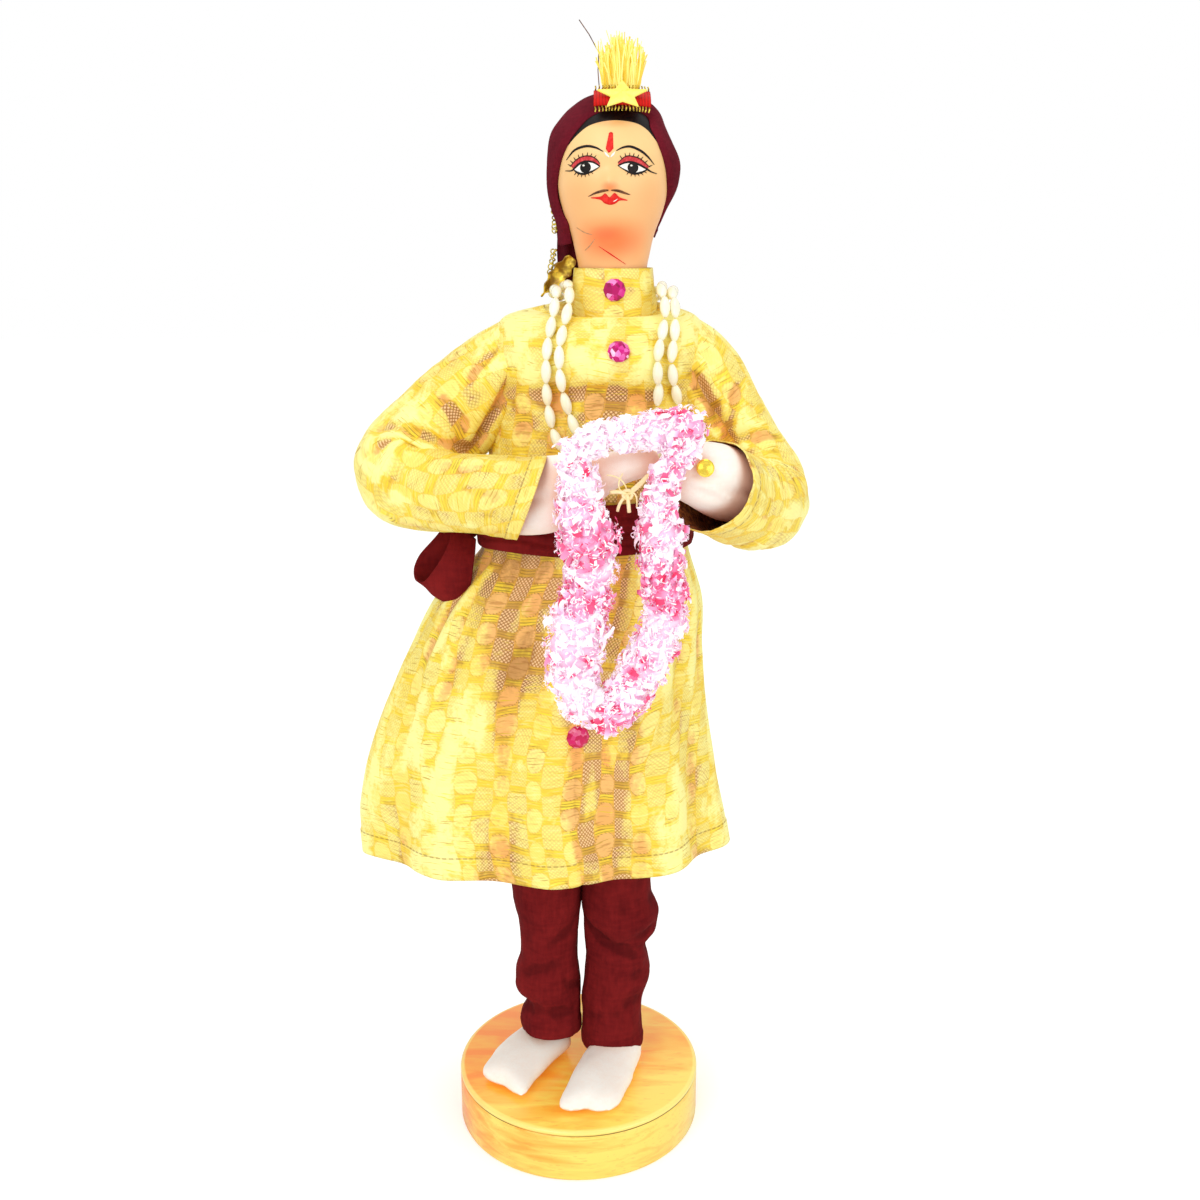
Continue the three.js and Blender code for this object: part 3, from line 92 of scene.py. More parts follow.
class Look:
    """A material in the making. Its inputs are numbers, colour codes or sockets of other nodes."""

    def __init__(self, name, **values):
        self.material = bpy.data.materials.new(name)
        self.material.use_nodes = True
        self.tree = self.material.node_tree
        self.shader = self.tree.nodes["Principled BSDF"]
        self.here = self.node("TexCoord").outputs["Object"]
        self.set(**values)

    def set(self, **values):
        """Sets inputs of the shader, with underscores for the spaces in their names."""
        for key, value in values.items():
            feed(self.tree, self.shader.inputs[key.replace("_", " ")], value)
        return self.material

    def node(self, kind, inputs=None, **settings):
        return add_node(self.tree, kind, inputs, **settings)

    def calc(self, operation, a, b=0.0):
        return self.node("Math", {0: a, 1: b}, operation=operation).outputs[0]

    def plus(self, a, b):
        return self.calc("ADD", a, b)

    def minus(self, a, b):
        return self.calc("SUBTRACT", a, b)

    def times(self, *values):
        product = values[0]
        for value in values[1:]:
            product = self.calc("MULTIPLY", product, value)
        return product

    def mix(self, share, a, b):
        """Colour a turned into colour b by a share from 0 to 1."""
        return self.node("Mix", {0: share, 6: a, 7: b}, data_type="RGBA").outputs[2]

    def between(self, value, low, high):
        """A share that turns from 0 to 1 as the value goes from low to high."""
        inputs = {0: value, 1: low, 2: high}
        return self.node("MapRange", inputs, interpolation_type="SMOOTHSTEP").outputs[0]

    def ramp(self, share, *stops):
        """The colour at a share, from stops of a place and a code."""
        made = self.node("ValToRGB", {0: share})
        elements = made.color_ramp.elements
        for element, (place, code) in zip(elements, (stops[0], stops[-1])):
            element.position = place
            element.color = colour(code)
        for place, code in stops[1:-1]:
            elements.new(place).color = colour(code)
        return made.outputs[0]

    def parts(self, vector):
        return self.node("SeparateXYZ", {0: vector}).outputs

    def vector(self, operation, a, b=(0, 0, 0)):
        return self.node("VectorMath", {0: a, 1: b}, operation=operation).outputs

    def stretched(self, scale, turn=0.0):
        """The place on the piece, stretched and turned about Z, for grain and threads."""
        inputs = {"Vector": self.here, "Scale": scale, "Rotation": (0, 0, turn)}
        return self.node("Mapping", inputs).outputs[0]

    def noise(self, scale, detail, place=None, **inputs):
        place = self.here if place is None else place
        inputs = {"Vector": place, "Scale": scale, "Detail": detail, **inputs}
        return self.node("TexNoise", inputs).outputs[0]

    def attribute(self, name):
        return self.node("Attribute", attribute_name=name).outputs["Fac"]

    def bump(self, height, strength, distance):
        made = self.node("Bump", {"Strength": strength, "Distance": distance, "Height": height})
        self.set(Normal=made.outputs[0])


def speckled(name, scale, detail, code, other, band=None, **values):
    """A material whose colour wanders between two codes; a narrow band of the noise makes sharper spots."""
    look = Look(name, **values)
    share = look.noise(scale, detail)
    if band:
        share = look.between(share, *band)
    return look.set(Base_Color=look.mix(share, code, other))


def cotton(name, code, shade, scale, depth, crevice_shade=None):
    """Plain cotton. Its threads are about 0.25 mm apart, drawn coarser here so that they don't shimmer."""
    look = Look(name, Roughness=0.95, Specular_IOR_Level=0.08)
    patchy = look.noise(75, 4)
    warp = look.noise(1.0, 2, look.stretched((scale, scale, scale * 0.25)))
    weft = look.noise(1.0, 2, look.stretched((scale * 0.25, scale * 0.25, scale)))
    weave = look.times(look.plus(warp, weft), 0.5)
    share = look.plus(look.times(patchy, 0.5), look.times(weave, 0.5))
    share = look.node("MapRange", {0: share, 1: 0.36, 2: 0.64, 3: 1.0, 4: 0.0}).outputs[0]
    body = look.mix(share, code, shade)
    # Painted shade darkens the hollows of the folds, and whole pieces where more painted shade is given.
    hollow = look.between(look.attribute("Worn"), 0.05, 0.6)
    body = look.mix(look.times(hollow, 0.42), body, "#34080a")
    if crevice_shade:
        # Painted shade: the cloth turns warm pink where other parts crowd it and shade it.
        near = look.node("AmbientOcclusion", {"Distance": 0.007}).outputs["AO"]
        body = look.mix(look.between(near, 0.9, 0.35), body, crevice_shade)
    look.bump(weave, depth, 0.0004)
    return look.set(Base_Color=body)


# Curves and surfaces


def smooth(t, low, high):
    """0 below low, 1 above high, and an even turn between them."""
    s = min(1, max(0, (t - low) / (high - low)))
    return s * s * (3 - 2 * s)


def bell(x, centre, width):
    return math.exp(-(((x - centre) / width) ** 2))


def crease(d, depth, width):
    """A soft valley with a ridge on each side, at a distance d from its line."""
    s = d / width
    return depth * (0.3 * s * s - 1) * math.exp(-0.7 * s * s)


def degrees_apart(a, b):
    return (a - b + 180) % 360 - 180


def wander(angle, scale, along):
    """Even noise from -1 to 1 round a tube: a larger scale turns more often."""
    return noise.noise(Vector((scale * math.cos(angle), scale * math.sin(angle), along)))


def turns(count):
    return [TURN * i / count for i in range(count)]


def seamed(u):
    """The angle at a share round a tube of cloth, which is seamed at the back."""
    return 0.25 * TURN + TURN * u


def spline(rows):
    """A function that passes smoothly through rows of (place, value, ...) and holds its end values."""

    def at(t):
        if t <= rows[0][0]:
            return rows[0][1:]
        if t >= rows[-1][0]:
            return rows[-1][1:]
        k = max(i for i in range(len(rows) - 1) if rows[i][0] <= t)
        before, a, b, after = rows[max(k - 1, 0)], rows[k], rows[k + 1], rows[min(k + 2, len(rows) - 1)]
        span = b[0] - a[0]
        s = (t - a[0]) / span
        out = []
        for j in range(1, len(a)):
            leave = span * (b[j] - before[j]) / (b[0] - before[0])
            arrive = span * (after[j] - a[j]) / (after[0] - a[0])
            rise = b[j] - a[j]
            curve = (leave + arrive - 2 * rise) * s**3 + (3 * rise - 2 * leave - arrive) * s**2
            out.append(a[j] + leave * s + curve)
        return out

    return at


def even_spline(rows):
    """A spline through rows that are evenly spaced from 0 to 1."""
    return spline([(k / (len(rows) - 1), *row) for k, row in enumerate(rows)])


def path_frames(points, count, side):
    """Even places on a smooth curve: point, direction, and two vectors across it that don't twist."""
    fineness = 400
    at = spline([(k, *p) for k, p in enumerate(points)])
    fine = [Vector(at((len(points) - 1) * k / fineness)) for k in range(fineness + 1)]
    sums = [0.0]
    for a, b in zip(fine, fine[1:]):
        sums.append(sums[-1] + (b - a).length)
    frames = []
    k = 0
    across = Vector(side)
    for n in range(count + 1):
        goal = sums[-1] * n / count
        while k < fineness - 1 and sums[k + 1] < goal:
            k += 1
        share = (goal - sums[k]) / (sums[k + 1] - sums[k])
        point = fine[k].lerp(fine[k + 1], share)
        ahead = (fine[min(k + 4, fineness)] - fine[max(k - 3, 0)]).normalized()
        across = (across - ahead * across.dot(ahead)).normalized()
        frames.append((point, ahead, across.copy(), ahead.cross(across)))
    return frames


def grid_faces(first, rows, columns, wrap=True):
    """The faces of rows of points that are numbered from first, with each row closed to a ring by wrap."""
    faces = []
    for k in range(rows - 1):
        a = first + k * columns
        for i in range(columns if wrap else columns - 1):
            j = (i + 1) % columns
            faces.append((a + i, a + j, a + columns + j, a + columns + i))
    return faces


# Pieces


def as_active(piece):
    """Makes one piece the only selected and the active one."""
    bpy.ops.object.select_all(action="DESELECT")
    piece.select_set(True)
    bpy.context.view_layer.objects.active = piece


def settle(piece, material, body, slot, *nodes, angle=None, inside=None):
    """Shades a finished piece, gives it its material and body, and puts it in its solids' place; its slot is
    not used.
    """
    as_active(piece)
    if angle is None:
        bpy.ops.object.shade_smooth()
    else:
        bpy.ops.object.shade_smooth_by_angle(angle=math.radians(angle))
    piece.data.materials.append(material)
    if inside:
        piece.data.materials.append(inside)
    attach(piece, body)
    if nodes:
        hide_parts(*nodes)


def mesh_piece(name, points, faces):
    """A new object from points in millimetres."""
    data = bpy.data.meshes.new(name)
    data.from_pydata([Vector(p) * MM for p in points], [], faces)
    piece = bpy.data.objects.new(name, data)
    scene.collection.objects.link(piece)
    return piece


def apply_modifier(piece, kind, **settings):
    as_active(piece)
    made = piece.modifiers.new(kind.lower(), kind)
    for key, value in settings.items():
        setattr(made, key, value)
    bpy.ops.object.modifier_apply(modifier=made.name)


def point_values(piece, name, values):
    """Keeps one number for each point, for the material to read."""
    piece.data.attributes.new(name, "FLOAT", "POINT").data.foreach_set("value", values)


def tidy_normals(piece, merge=0.00001):
    """Merges doubled points and turns every face outwards."""
    as_active(piece)
    bpy.ops.object.mode_set(mode="EDIT")
    bpy.ops.mesh.select_all(action="SELECT")
    bpy.ops.mesh.remove_doubles(threshold=merge)
    bpy.ops.mesh.normals_make_consistent(inside=False)
    bpy.ops.object.mode_set(mode="OBJECT")


def turned(name, outline, steps):
    """A turned piece: an outline of (radius, height) spun about Z."""
    piece = mesh_piece(name, [(r, 0, z) for r, z in outline], [])
    edges = bmesh.new()
    edges.from_mesh(piece.data)
    edges.verts.ensure_lookup_table()
    for k in range(len(outline) - 1):
        edges.edges.new((edges.verts[k], edges.verts[k + 1]))
    edges.to_mesh(piece.data)
    edges.free()
    as_active(piece)
    bpy.ops.object.mode_set(mode="EDIT")
    bpy.ops.mesh.select_all(action="SELECT")
    bpy.ops.mesh.spin(steps=steps, angle=TURN, center=(0, 0, 0), axis=(0, 0, 1))
    bpy.ops.object.mode_set(mode="OBJECT")
    tidy_normals(piece)
    return piece


def closed_rings(name, rings):
    """A closed piece from rings of points, with its two ends drawn to a point."""
    count = len(rings[0])
    points = [p for ring in rings for p in ring]
    faces = grid_faces(0, len(rings), count)
    for ring, first, flip in ((rings[0], 0, True), (rings[-1], (len(rings) - 1) * count, False)):
        points.append(sum((Vector(p) for p in ring), Vector()) / count)
        for i in range(count):
            a, b = first + i, first + (i + 1) % count
            faces.append((b, a, len(points) - 1) if flip else (a, b, len(points) - 1))
    piece = mesh_piece(name, points, faces)
    tidy_normals(piece)
    return piece


def level_rings(rows, count, sides):
    """Level ovals from rows of (height, x, y, half width, half depth)."""
    at = spline(rows)
    low, high = rows[0][0], rows[-1][0]
    rings = []
    for k in range(count + 1):
        z = low + (high - low) * k / count
        x, y, wide, deep = at(z)
        rings.append([(x + wide * math.cos(a), y + deep * math.sin(a), z) for a in turns(sides)])
    return rings


def rope(points, faces, line, radius, sides=6):
    """Adds a thin round rod along a line to lists of points and faces."""
    first = len(points)
    line = [Vector(p) for p in line]
    across = Vector((0.31, 0.2, 0.93))
    for k, here in enumerate(line):
        ahead = (line[min(k + 1, len(line) - 1)] - line[max(k - 1, 0)]).normalized()
        across = (across - ahead * across.dot(ahead)).normalized()
        other = ahead.cross(across)
        points.extend(here + radius * (across * math.cos(a) + other * math.sin(a)) for a in turns(sides))
    faces.extend(grid_faces(first, len(line), sides))
    last = first + (len(line) - 1) * sides
    faces.append(tuple(first + i for i in reversed(range(sides))))
    faces.append(tuple(last + i for i in range(sides)))


def stuff(piece, pressure, most, grain):
    """Blows a sewn cotton skin up as its stuffing does, and lets no point move further than most."""
    apply_modifier(piece, "REMESH", mode="VOXEL", voxel_size=grain * MM)
    apply_modifier(piece, "SMOOTH", factor=0.5, iterations=4)
    start = [v.co.copy() for v in piece.data.vertices]
    last_frame = 12
    stuffing = piece.modifiers.new("stuffing", "CLOTH")
    stuffing.settings.use_pressure = True
    stuffing.settings.uniform_pressure_force = pressure
    stuffing.settings.quality = 5
    stuffing.settings.mass = 0.1
    stuffing.settings.tension_stiffness = 20
    stuffing.settings.compression_stiffness = 20
    stuffing.settings.effector_weights.gravity = 0
    stuffing.point_cache.frame_start = 1
    stuffing.point_cache.frame_end = last_frame
    for step in range(1, last_frame + 1):
        scene.frame_set(step)
    as_active(piece)
    bpy.ops.object.modifier_apply(modifier="stuffing")
    for v, home in zip(piece.data.vertices, start):
        move = v.co - home
        if move.length > most * MM:
            v.co = home + move.normalized() * most * MM
    scene.frame_set(1)
    apply_modifier(piece, "SMOOTH", factor=0.5, iterations=3)
    apply_modifier(piece, "SUBSURF", levels=1, render_levels=1)


def hollows(grid, closed):
    """How far each point of a grid lies below the cloth near it: 1 in a valley, -1 on a ridge."""
    near = 4.0  # how far away that cloth is
    rows, columns = len(grid) - 1, len(grid[0]) - 1
    length = sum((grid[k + 1][0] - grid[k][0]).length for k in range(rows))
    b = max(1, round(near * rows / max(length, 1)))
    out = []
    for j, row in enumerate(grid):
        centre = sum(row, Vector()) / len(row)
        girth = sum((p - q).length for p, q in zip(row, row[1:]))
        a = max(1, round(near * columns / max(girth, 1)))
        for i, here in enumerate(row):
            left = row[(i - a) % columns] if closed else row[max(i - a, 0)]
            right = row[(i + a) % columns] if closed else row[min(i + a, columns)]
            low, high = grid[max(j - b, 0)][i], grid[min(j + b, rows)][i]
            away = (right - left).cross(high - low).normalized()
            if away.dot(here - centre) < 0:
                away.negate()
            # A round form lies above its neighbours anyway, by about half the square of near over its radius.
            depth = away.dot((left + right + low + high) / 4 - here) + 8 * math.pi / max(girth, 20)
            out.append(max(-1, min(1, depth / 0.45)))
    return out


def cloth(name, columns, rows, place, closed=True, thick=0.35, lining=False, painted_shade=None):
    """A cut of cloth: a grid whose points are placed by their share across and along, and its thickness.
    Its UV map is in millimetres on the cloth, from the middle of the lower edge. Where painted_shade is
    given, as a number or as a function of those shares, it says how much painted shade the cloth gets, and
    the attribute
    Worn holds that and the painted shade of the hollows."""
    grid = [[Vector(place(i / columns, j / rows)) for i in range(columns + 1)] for j in range(rows + 1)]
    middle = columns // 2
    along = [0.0]
    for j in range(rows):
        along.append(along[-1] + (grid[j + 1][middle] - grid[j][middle]).length)
    across = []
    for row in grid:
        sums = [0.0]
        for a, b in zip(row, row[1:]):
            sums.append(sums[-1] + (b - a).length)
        across.append([s - sums[middle] for s in sums])
    wide = columns + 1
    piece = mesh_piece(name, [p for row in grid for p in row], grid_faces(0, rows + 1, wide, wrap=False))
    if painted_shade is not None:
        values = hollows(grid, closed)
        for k, hollow in enumerate(values):
            j, i = divmod(k, wide)
            shading = painted_shade(i / columns, j / rows) if callable(painted_shade) else painted_shade
            values[k] = shading + 0.5 * hollow
        point_values(piece, "Worn", values)
    layer = piece.data.uv_layers.new(name="Cloth")
    for loop in piece.data.loops:
        j, i = divmod(loop.vertex_index, wide)
        layer.data[loop.index].uv = (across[j][i], along[j])
    if closed:
        tidy_normals(piece)
    count = len(piece.data.polygons)
    apply_modifier(piece, "SOLIDIFY", thickness=thick * MM, offset=-1)
    if lining:
        for face in piece.data.polygons[count : 2 * count]:
            face.material_index = 1
    return piece


def folded(angle, along, folds):
    """How far the listed folds move the cloth out at a place round a leg or sleeve."""
    out = 0
    for at, reach, height, slope, depth, width in folds:
        turn = degrees_apart(math.degrees(angle), at)
        if abs(turn) < reach:
            fade = math.cos(0.5 * math.pi * turn / reach) ** 1.5
            out += fade * crease(along - height - slope * turn / 60, depth, width)
    return out


# Camera, floor and studio light

# The camera stands at the doll's eye height, close by, and looks down by a hand's breadth.
# A white sweep of paper and large soft lamps give the even, bright picture.
CAMERA_PLACE = (0.0065, -0.3526, 0.2524)
CAMERA_TILT = 75.42
LENS = 39.2
SENSOR = 36

scene.view_settings.view_transform = "Standard"
bpy.ops.object.camera_add(location=CAMERA_PLACE, rotation=(math.radians(CAMERA_TILT), 0, 0))
camera = bpy.context.object
camera.data.lens = LENS
camera.data.sensor_width = SENSOR
camera.data.clip_start = 0.01
scene.camera = camera

bpy.ops.mesh.primitive_plane_add(size=8)
floor = bpy.context.object
floor.name = "floor"
paper = Look("white paper sweep", Roughness=0.9, Base_Color="#f7f6f4", Emission_Color="#ffffff")
# The sweep is lit apart from the doll, so that it stays white up to the horizon and keeps a faint shadow.
seen = paper.node("LightPath").outputs["Is Camera Ray"]
floor.data.materials.append(paper.set(Emission_Strength=paper.times(seen, 0.3)))
floor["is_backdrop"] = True

AMBIENT = 0.8
world = bpy.data.worlds.new("studio")
world.use_nodes = True
sky = world.node_tree.nodes["Background"]
ray = add_node(world.node_tree, "LightPath")
ambient = add_node(world.node_tree, "Mix", {0: ray.outputs["Is Camera Ray"], 2: AMBIENT, 3: 1.0})
feed(world.node_tree, sky.inputs["Strength"], ambient.outputs[0])
feed(world.node_tree, sky.inputs["Color"], "#ffffff")
scene.world = world

# Each lamp is its name, place, size and power, and all point at the doll's middle.
LAMPS = (
    ("key lamp", (-0.5, -1.0, 0.72), 0.6, 4.1),
    ("fill lamp", (0.8, -0.8, 0.3), 0.7, 2.2),
    ("top lamp", (0.0, -0.1, 1.1), 0.6, 1.9),
)
LIT = Vector((0, 0, 0.16))
for name, place, size, power in LAMPS:
    bpy.ops.object.light_add(type="AREA", location=place)
    lamp = bpy.context.object
    lamp.name = name
    lamp.data.size = size
    lamp.data.energy = power
    lamp.rotation_euler = (LIT - Vector(place)).to_track_quat("-Z", "Y").to_euler()
    lamp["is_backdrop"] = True


# Turned base

# A disc of pale wood turned on a lathe, with a rounded rim above one scored line, under orange-yellow
# lacquer. The leg wires are glued into two holes that the feet hide.
BASE_OUTLINE = (
    (0, 0), (35.2, 0), (35.8, 0.25), (36, 0.8), (36, 13.95), (35.85, 14.2), (35.62, 14.35), (35.62, 14.45),
    (35.85, 14.6), (36, 14.85), (36, 15.2), (35.85, 15.6), (35.55, 15.88), (35.1, 16), (0, 16),
)
SCORED = 0.0144
GRAIN_TURN = 0.35

# Lacquered wood: broad orange and yellow streaks that follow the grain across the disc, with fine dark pores.
# The colour turns more orange towards the back and the doll's right.
wood = Look("lacquered wood", Roughness=0.3, Coat_Weight=0.5, Coat_Roughness=0.2, Emission_Strength=0.17)
streaks = wood.noise(1.0, 4, wood.stretched((40, 170, 420), GRAIN_TURN), Distortion=0.8)
blotch = wood.noise(30, 2)
pores = wood.noise(1.0, 2, wood.stretched((260, 1500, 2200), GRAIN_TURN))
leftward, backward, height = wood.parts(wood.here)
tone = wood.plus(wood.times(streaks, 0.55), wood.times(blotch, 0.5))
tone = wood.minus(tone, wood.times(backward, 3.4))
tone = wood.plus(tone, wood.times(leftward, 1.6))
body = wood.ramp(tone, (0.36, "#ff8d22"), (0.5, "#ffb63c"), (0.7, "#ffe066"))
body = wood.mix(wood.times(wood.between(pores, 0.62, 0.68), 0.22), body, "#c97a26")
# The top glows a little of its own, a painted brightening of the top face.
wood.set(Emission_Color=wood.mix(wood.between(height, 0.0157, 0.016), "#000000", body))
# The rounded rim above the scored line is painted paler as a highlight, and the scored line is darker.
away = wood.vector("LENGTH", wood.vector("MULTIPLY", wood.here, (1, 1, 0))[0])["Value"]
outside = wood.between(away, 0.0346, 0.0351)
edge = wood.times(outside, wood.between(height, 0.0147, 0.0150))
body = wood.mix(wood.times(edge, 0.7), body, "#fdee86")
line = wood.calc("LESS_THAN", wood.calc("ABSOLUTE", wood.minus(height, SCORED)), 0.00016)
line = wood.times(line, outside, wood.between(blotch, 0.3, 0.6))
wood.set(Base_Color=wood.mix(wood.times(line, 0.8), body, "#7a4a1c"))
wood.bump(streaks, 0.08, 0.0003)

base = turned("turned_base", BASE_OUTLINE, 144)
settle(base, wood.material, "figure", "lacquered_wood", "base_disc", angle=35)


# Stuffed feet

# Two flat cotton feet, each cut from an outline, sewn round its edge, turned out and stuffed.
# The toe ends are square, the instep is highest at the trouser, and the soles are glued to the base.
# The cotton is undyed and almost white, with a warm pink painted shade where other parts crowd it.
skin_cotton = cotton("undyed cotton skin", "#fffaf0", "#fdf0e2", 1500, 0.2, "#f4c9ae")
SOLE_Z = 16.5

# Each row is a share of the foot's length, then x and y of its outer and inner edge, and its height.
RIGHT_FOOT = (
    (0.0, -11.5, 7.6, -7.5, 7.2, 6.5), (0.1, -16.5, 6.0, -3.4, 6.2, 9.4), (0.3, -21.2, 1.6, -2.8, 0.6, 9.6),
    (0.55, -25.2, -3.4, -7.4, -7.2, 8.2), (0.8, -27.6, -8.6, -12.4, -15.6, 6.4),
    (0.95, -28.4, -12.0, -14.9, -21.8, 5.2), (1.0, -27.0, -13.8, -16.2, -23.0, 4.0),
)
LEFT_FOOT = (
    (0.0, 9.5, 7.4, 14.0, 7.2, 6.5), (0.1, 5.4, 5.8, 17.6, 5.8, 9.4), (0.3, 3.0, -2.6, 19.2, -2.4, 9.6),
    (0.55, -0.8, -11.8, 17.2, -10.6, 8.2), (0.8, -3.8, -21.2, 14.6, -19.8, 6.4),
    (0.95, -5.0, -27.0, 12.2, -26.8, 5.2), (1.0, -3.6, -29.2, 9.4, -29.8, 4.0),
)


def squarish(wave, power):
    """A sine or cosine whose crests are broader, so that a ring of them has fuller corners."""
    return math.copysign(abs(wave) ** power, wave)


def foot(name, rows, node):
    steps, sides = 24, 28
    at = spline(rows)
    rings = []
    for k in range(steps + 1):
        s = 0.5 - 0.5 * math.cos(math.pi * k / steps)
        ax, ay, bx, by, tall = at(s)
        close = (1 - (2 * s - 1) ** 10) ** 0.5
        ring = []
        for angle in turns(sides):
            across = 0.5 + 0.5 * squarish(math.cos(angle), 0.88)
            rise = squarish(math.sin(angle), 0.85)
            up = 0.34 * tall + (0.62 if rise > 0 else 0.3) * tall * rise * max(close, 0.15)
            # The stuffing is uneven, and the toe seam is drawn in at its middle.
            lump = 0.9 * noise.noise(Vector((0.3 * ax, 4 * across, 5 * s)))
            drawn = 1.4 * bell(across, 0.5, 0.16) * smooth(s, 0.8, 1)
            ring.append((ax + (bx - ax) * across + lump, ay + (by - ay) * across + drawn + lump, SOLE_Z + up))
        rings.append(ring)
    piece = closed_rings(name, rings)
    stuff(piece, pressure=0.8, most=0.7, grain=0.7)
    settle(piece, skin_cotton, "figure", "stuffed_cotton", node)


foot("stuffed_right_foot", RIGHT_FOOT, "right_foot")
foot("stuffed_left_foot", LEFT_FOOT, "left_foot")


# Stuffed torso and legs

# The same cotton skin, stuffed hard over the wires. The clothes cover all of it but the look up under the
# skirt.
HIP_Z = 119.6
TORSO_ROWS = (
    (HIP_Z, 1, 1, 15, 7), (122, 1, 1, 19, 10.5), (127, 1, 1, 20.6, 12.6), (150, 1.6, 0.5, 22, 14.8),
    (181, 3.3, 0, 26.8, 17.4), (208, 5.2, 0, 25.6, 14.6), (218, 5.7, 0, 25.4, 14), (228, 6.4, 0, 24, 14.2),
    (234, 9, 0, 15, 11), (236, 10, 0, 9, 8),
)
LEG_RINGS = ((26.4, 4), (28, 5), (64, 5.4), (119.4, 7))  # height and radius


def hidden_limb(name, rings, node):
    """A stuffed piece that the clothes hide."""
    piece = closed_rings(name, rings)
    settle(piece, skin_cotton, "figure", None, node)


hidden_limb("stuffed_torso", level_rings(TORSO_ROWS, 40, 40), "torso")
for name, x in (("right_leg", -9.7), ("left_leg", 11.7)):
    rows = [(z, x, 1, radius, radius) for z, radius in LEG_RINGS]
    hidden_limb("stuffed_" + name, level_rings(rows, 24, 24), name)


# Trousers

# Two narrow tubes of maroon cotton, each with a turned hem. They are a little long, so the cloth breaks
# into soft folds at the knee and above the instep. The tops are caught in the tunic's waist.
maroon = cotton("maroon cotton", "#7d1c1d", "#5c0f13", 900, 0.35)

# Each row is a height, the middle x of the leg there, and its half width and half depth.
RIGHT_TROUSER = (
    (21.5, -7.6, 8.0, 8.2), (25, -7.9, 8.5, 8.8), (30.7, -8.4, 9.2, 9.0), (35.6, -7.8, 8.6, 8.2),
    (41, -9.2, 9.7, 9.2), (46, -9.4, 9.5, 9.4), (52, -8.8, 8.5, 8.8), (62, -8.7, 9.0, 9.3),
    (70, -9.1, 10.1, 10), (95, -9.9, 10.7, 10.6), (HIP_Z, -9.8, 10.2, 10.4),
)
LEFT_TROUSER = (
    (19, 10.4, 8.9, 8.9), (26, 10.2, 9.1, 9.3), (33, 10.2, 9.1, 9.3), (38, 10.4, 9.3, 9),
    (45.5, 11.7, 9.8, 9.3), (51, 11.6, 9.3, 9), (55, 11.7, 9.7, 9.6), (64, 12.8, 11.5, 10.6),
    (72, 11.3, 10.3, 10), (95, 11.3, 10.3, 10.6), (HIP_Z, 11.6, 10.2, 10.4),
)
# Each fold is where it lies round the leg in degrees, how far it reaches, its height, its slope in mm per
# turn of 60 degrees, its depth and its width.
RIGHT_FOLDS = (
    (235, 70, 48.5, 3.5, 0.9, 2.6), (290, 55, 35.5, -1.0, 0.8, 2.0), (200, 60, 36, 1.5, 1.2, 2.2),
    (300, 60, 61, 5.0, 0.7, 3.0), (330, 45, 43, -4.0, 0.7, 2.4), (250, 60, 29.5, 0.8, 0.5, 1.8),
    (70, 90, 38, 2, 1.2, 2.6), (100, 80, 52, -3, 1.0, 3.0), (60, 70, 68, 4, 0.8, 3.2),
)
LEFT_FOLDS = (
    (265, 75, 57.5, -3.5, 1.9, 2.6), (320, 55, 61.5, 2.5, 1.5, 2.2), (215, 45, 62, -4.0, 1.2, 2.2),
    (310, 60, 47, 3.0, 0.8, 2.6), (250, 70, 34.5, 1.5, 0.6, 2.0), (300, 60, 39.5, -1.6, 0.6, 2.0),
    (350, 45, 55, -4, 1.4, 2.4), (70, 90, 37, 2, 1.2, 2.6), (110, 80, 55, -3, 1.3, 3.0),
    (80, 70, 68, 4, 0.8, 3.2),
)


def trouser(name, rows, folds, low, dip, node):
    """One trouser leg, whose hem is at a height low behind and higher by dip in front."""
    at = spline(rows)

    def place(u, v):
        angle = seamed(u)
        front = 0.5 - 0.5 * math.sin(angle)
        z = low + dip * front * (1 - v) + (HIP_Z - low) * v
        x, wide, deep = at(z)
        out = folded(angle, z, folds)
        out += 0.45 * wander(angle, 3, 0.11 * z) + 0.12 * wander(angle, 9.3, 0.341 * z)
        # The hem is turned up once and stitched, so it is thicker by a fold of cloth.
        out += 0.25 * (1 - smooth(z - low - dip * front, 3.4, 3.9))
        return (x + (wide + out) * math.cos(angle), 1 + (deep + out) * math.sin(angle), z)

    piece = cloth(name, 96, 190, place, painted_shade=0.0)
    settle(piece, maroon, "figure", "maroon_cotton", node)


trouser("right_trouser", RIGHT_TROUSER, RIGHT_FOLDS, 26.0, 1.0, "right_trouser_leg")
trouser("left_trouser", LEFT_TROUSER, LEFT_FOLDS, 20.5, 1.5, "left_trouser_leg")


# Tunic

# A knee-length coat of gold brocade: a flared skirt set on at the waist, a bodice, a standing collar and long
# sleeves. It is machine-sewn, with turned hems whose stitches show, and stiff enough to stand off the body.
COLUMN = 5.0  # between the woven columns of discs
REPEAT = 8.5  # from one disc to the next in its column
NET_PITCH = 2.1  # a wave of the net's slanting threads, drawn a little coarser than they are
TWILL_PITCH = 0.95
THREAD_PITCH = 0.8
STITCH_PITCH = 1.7


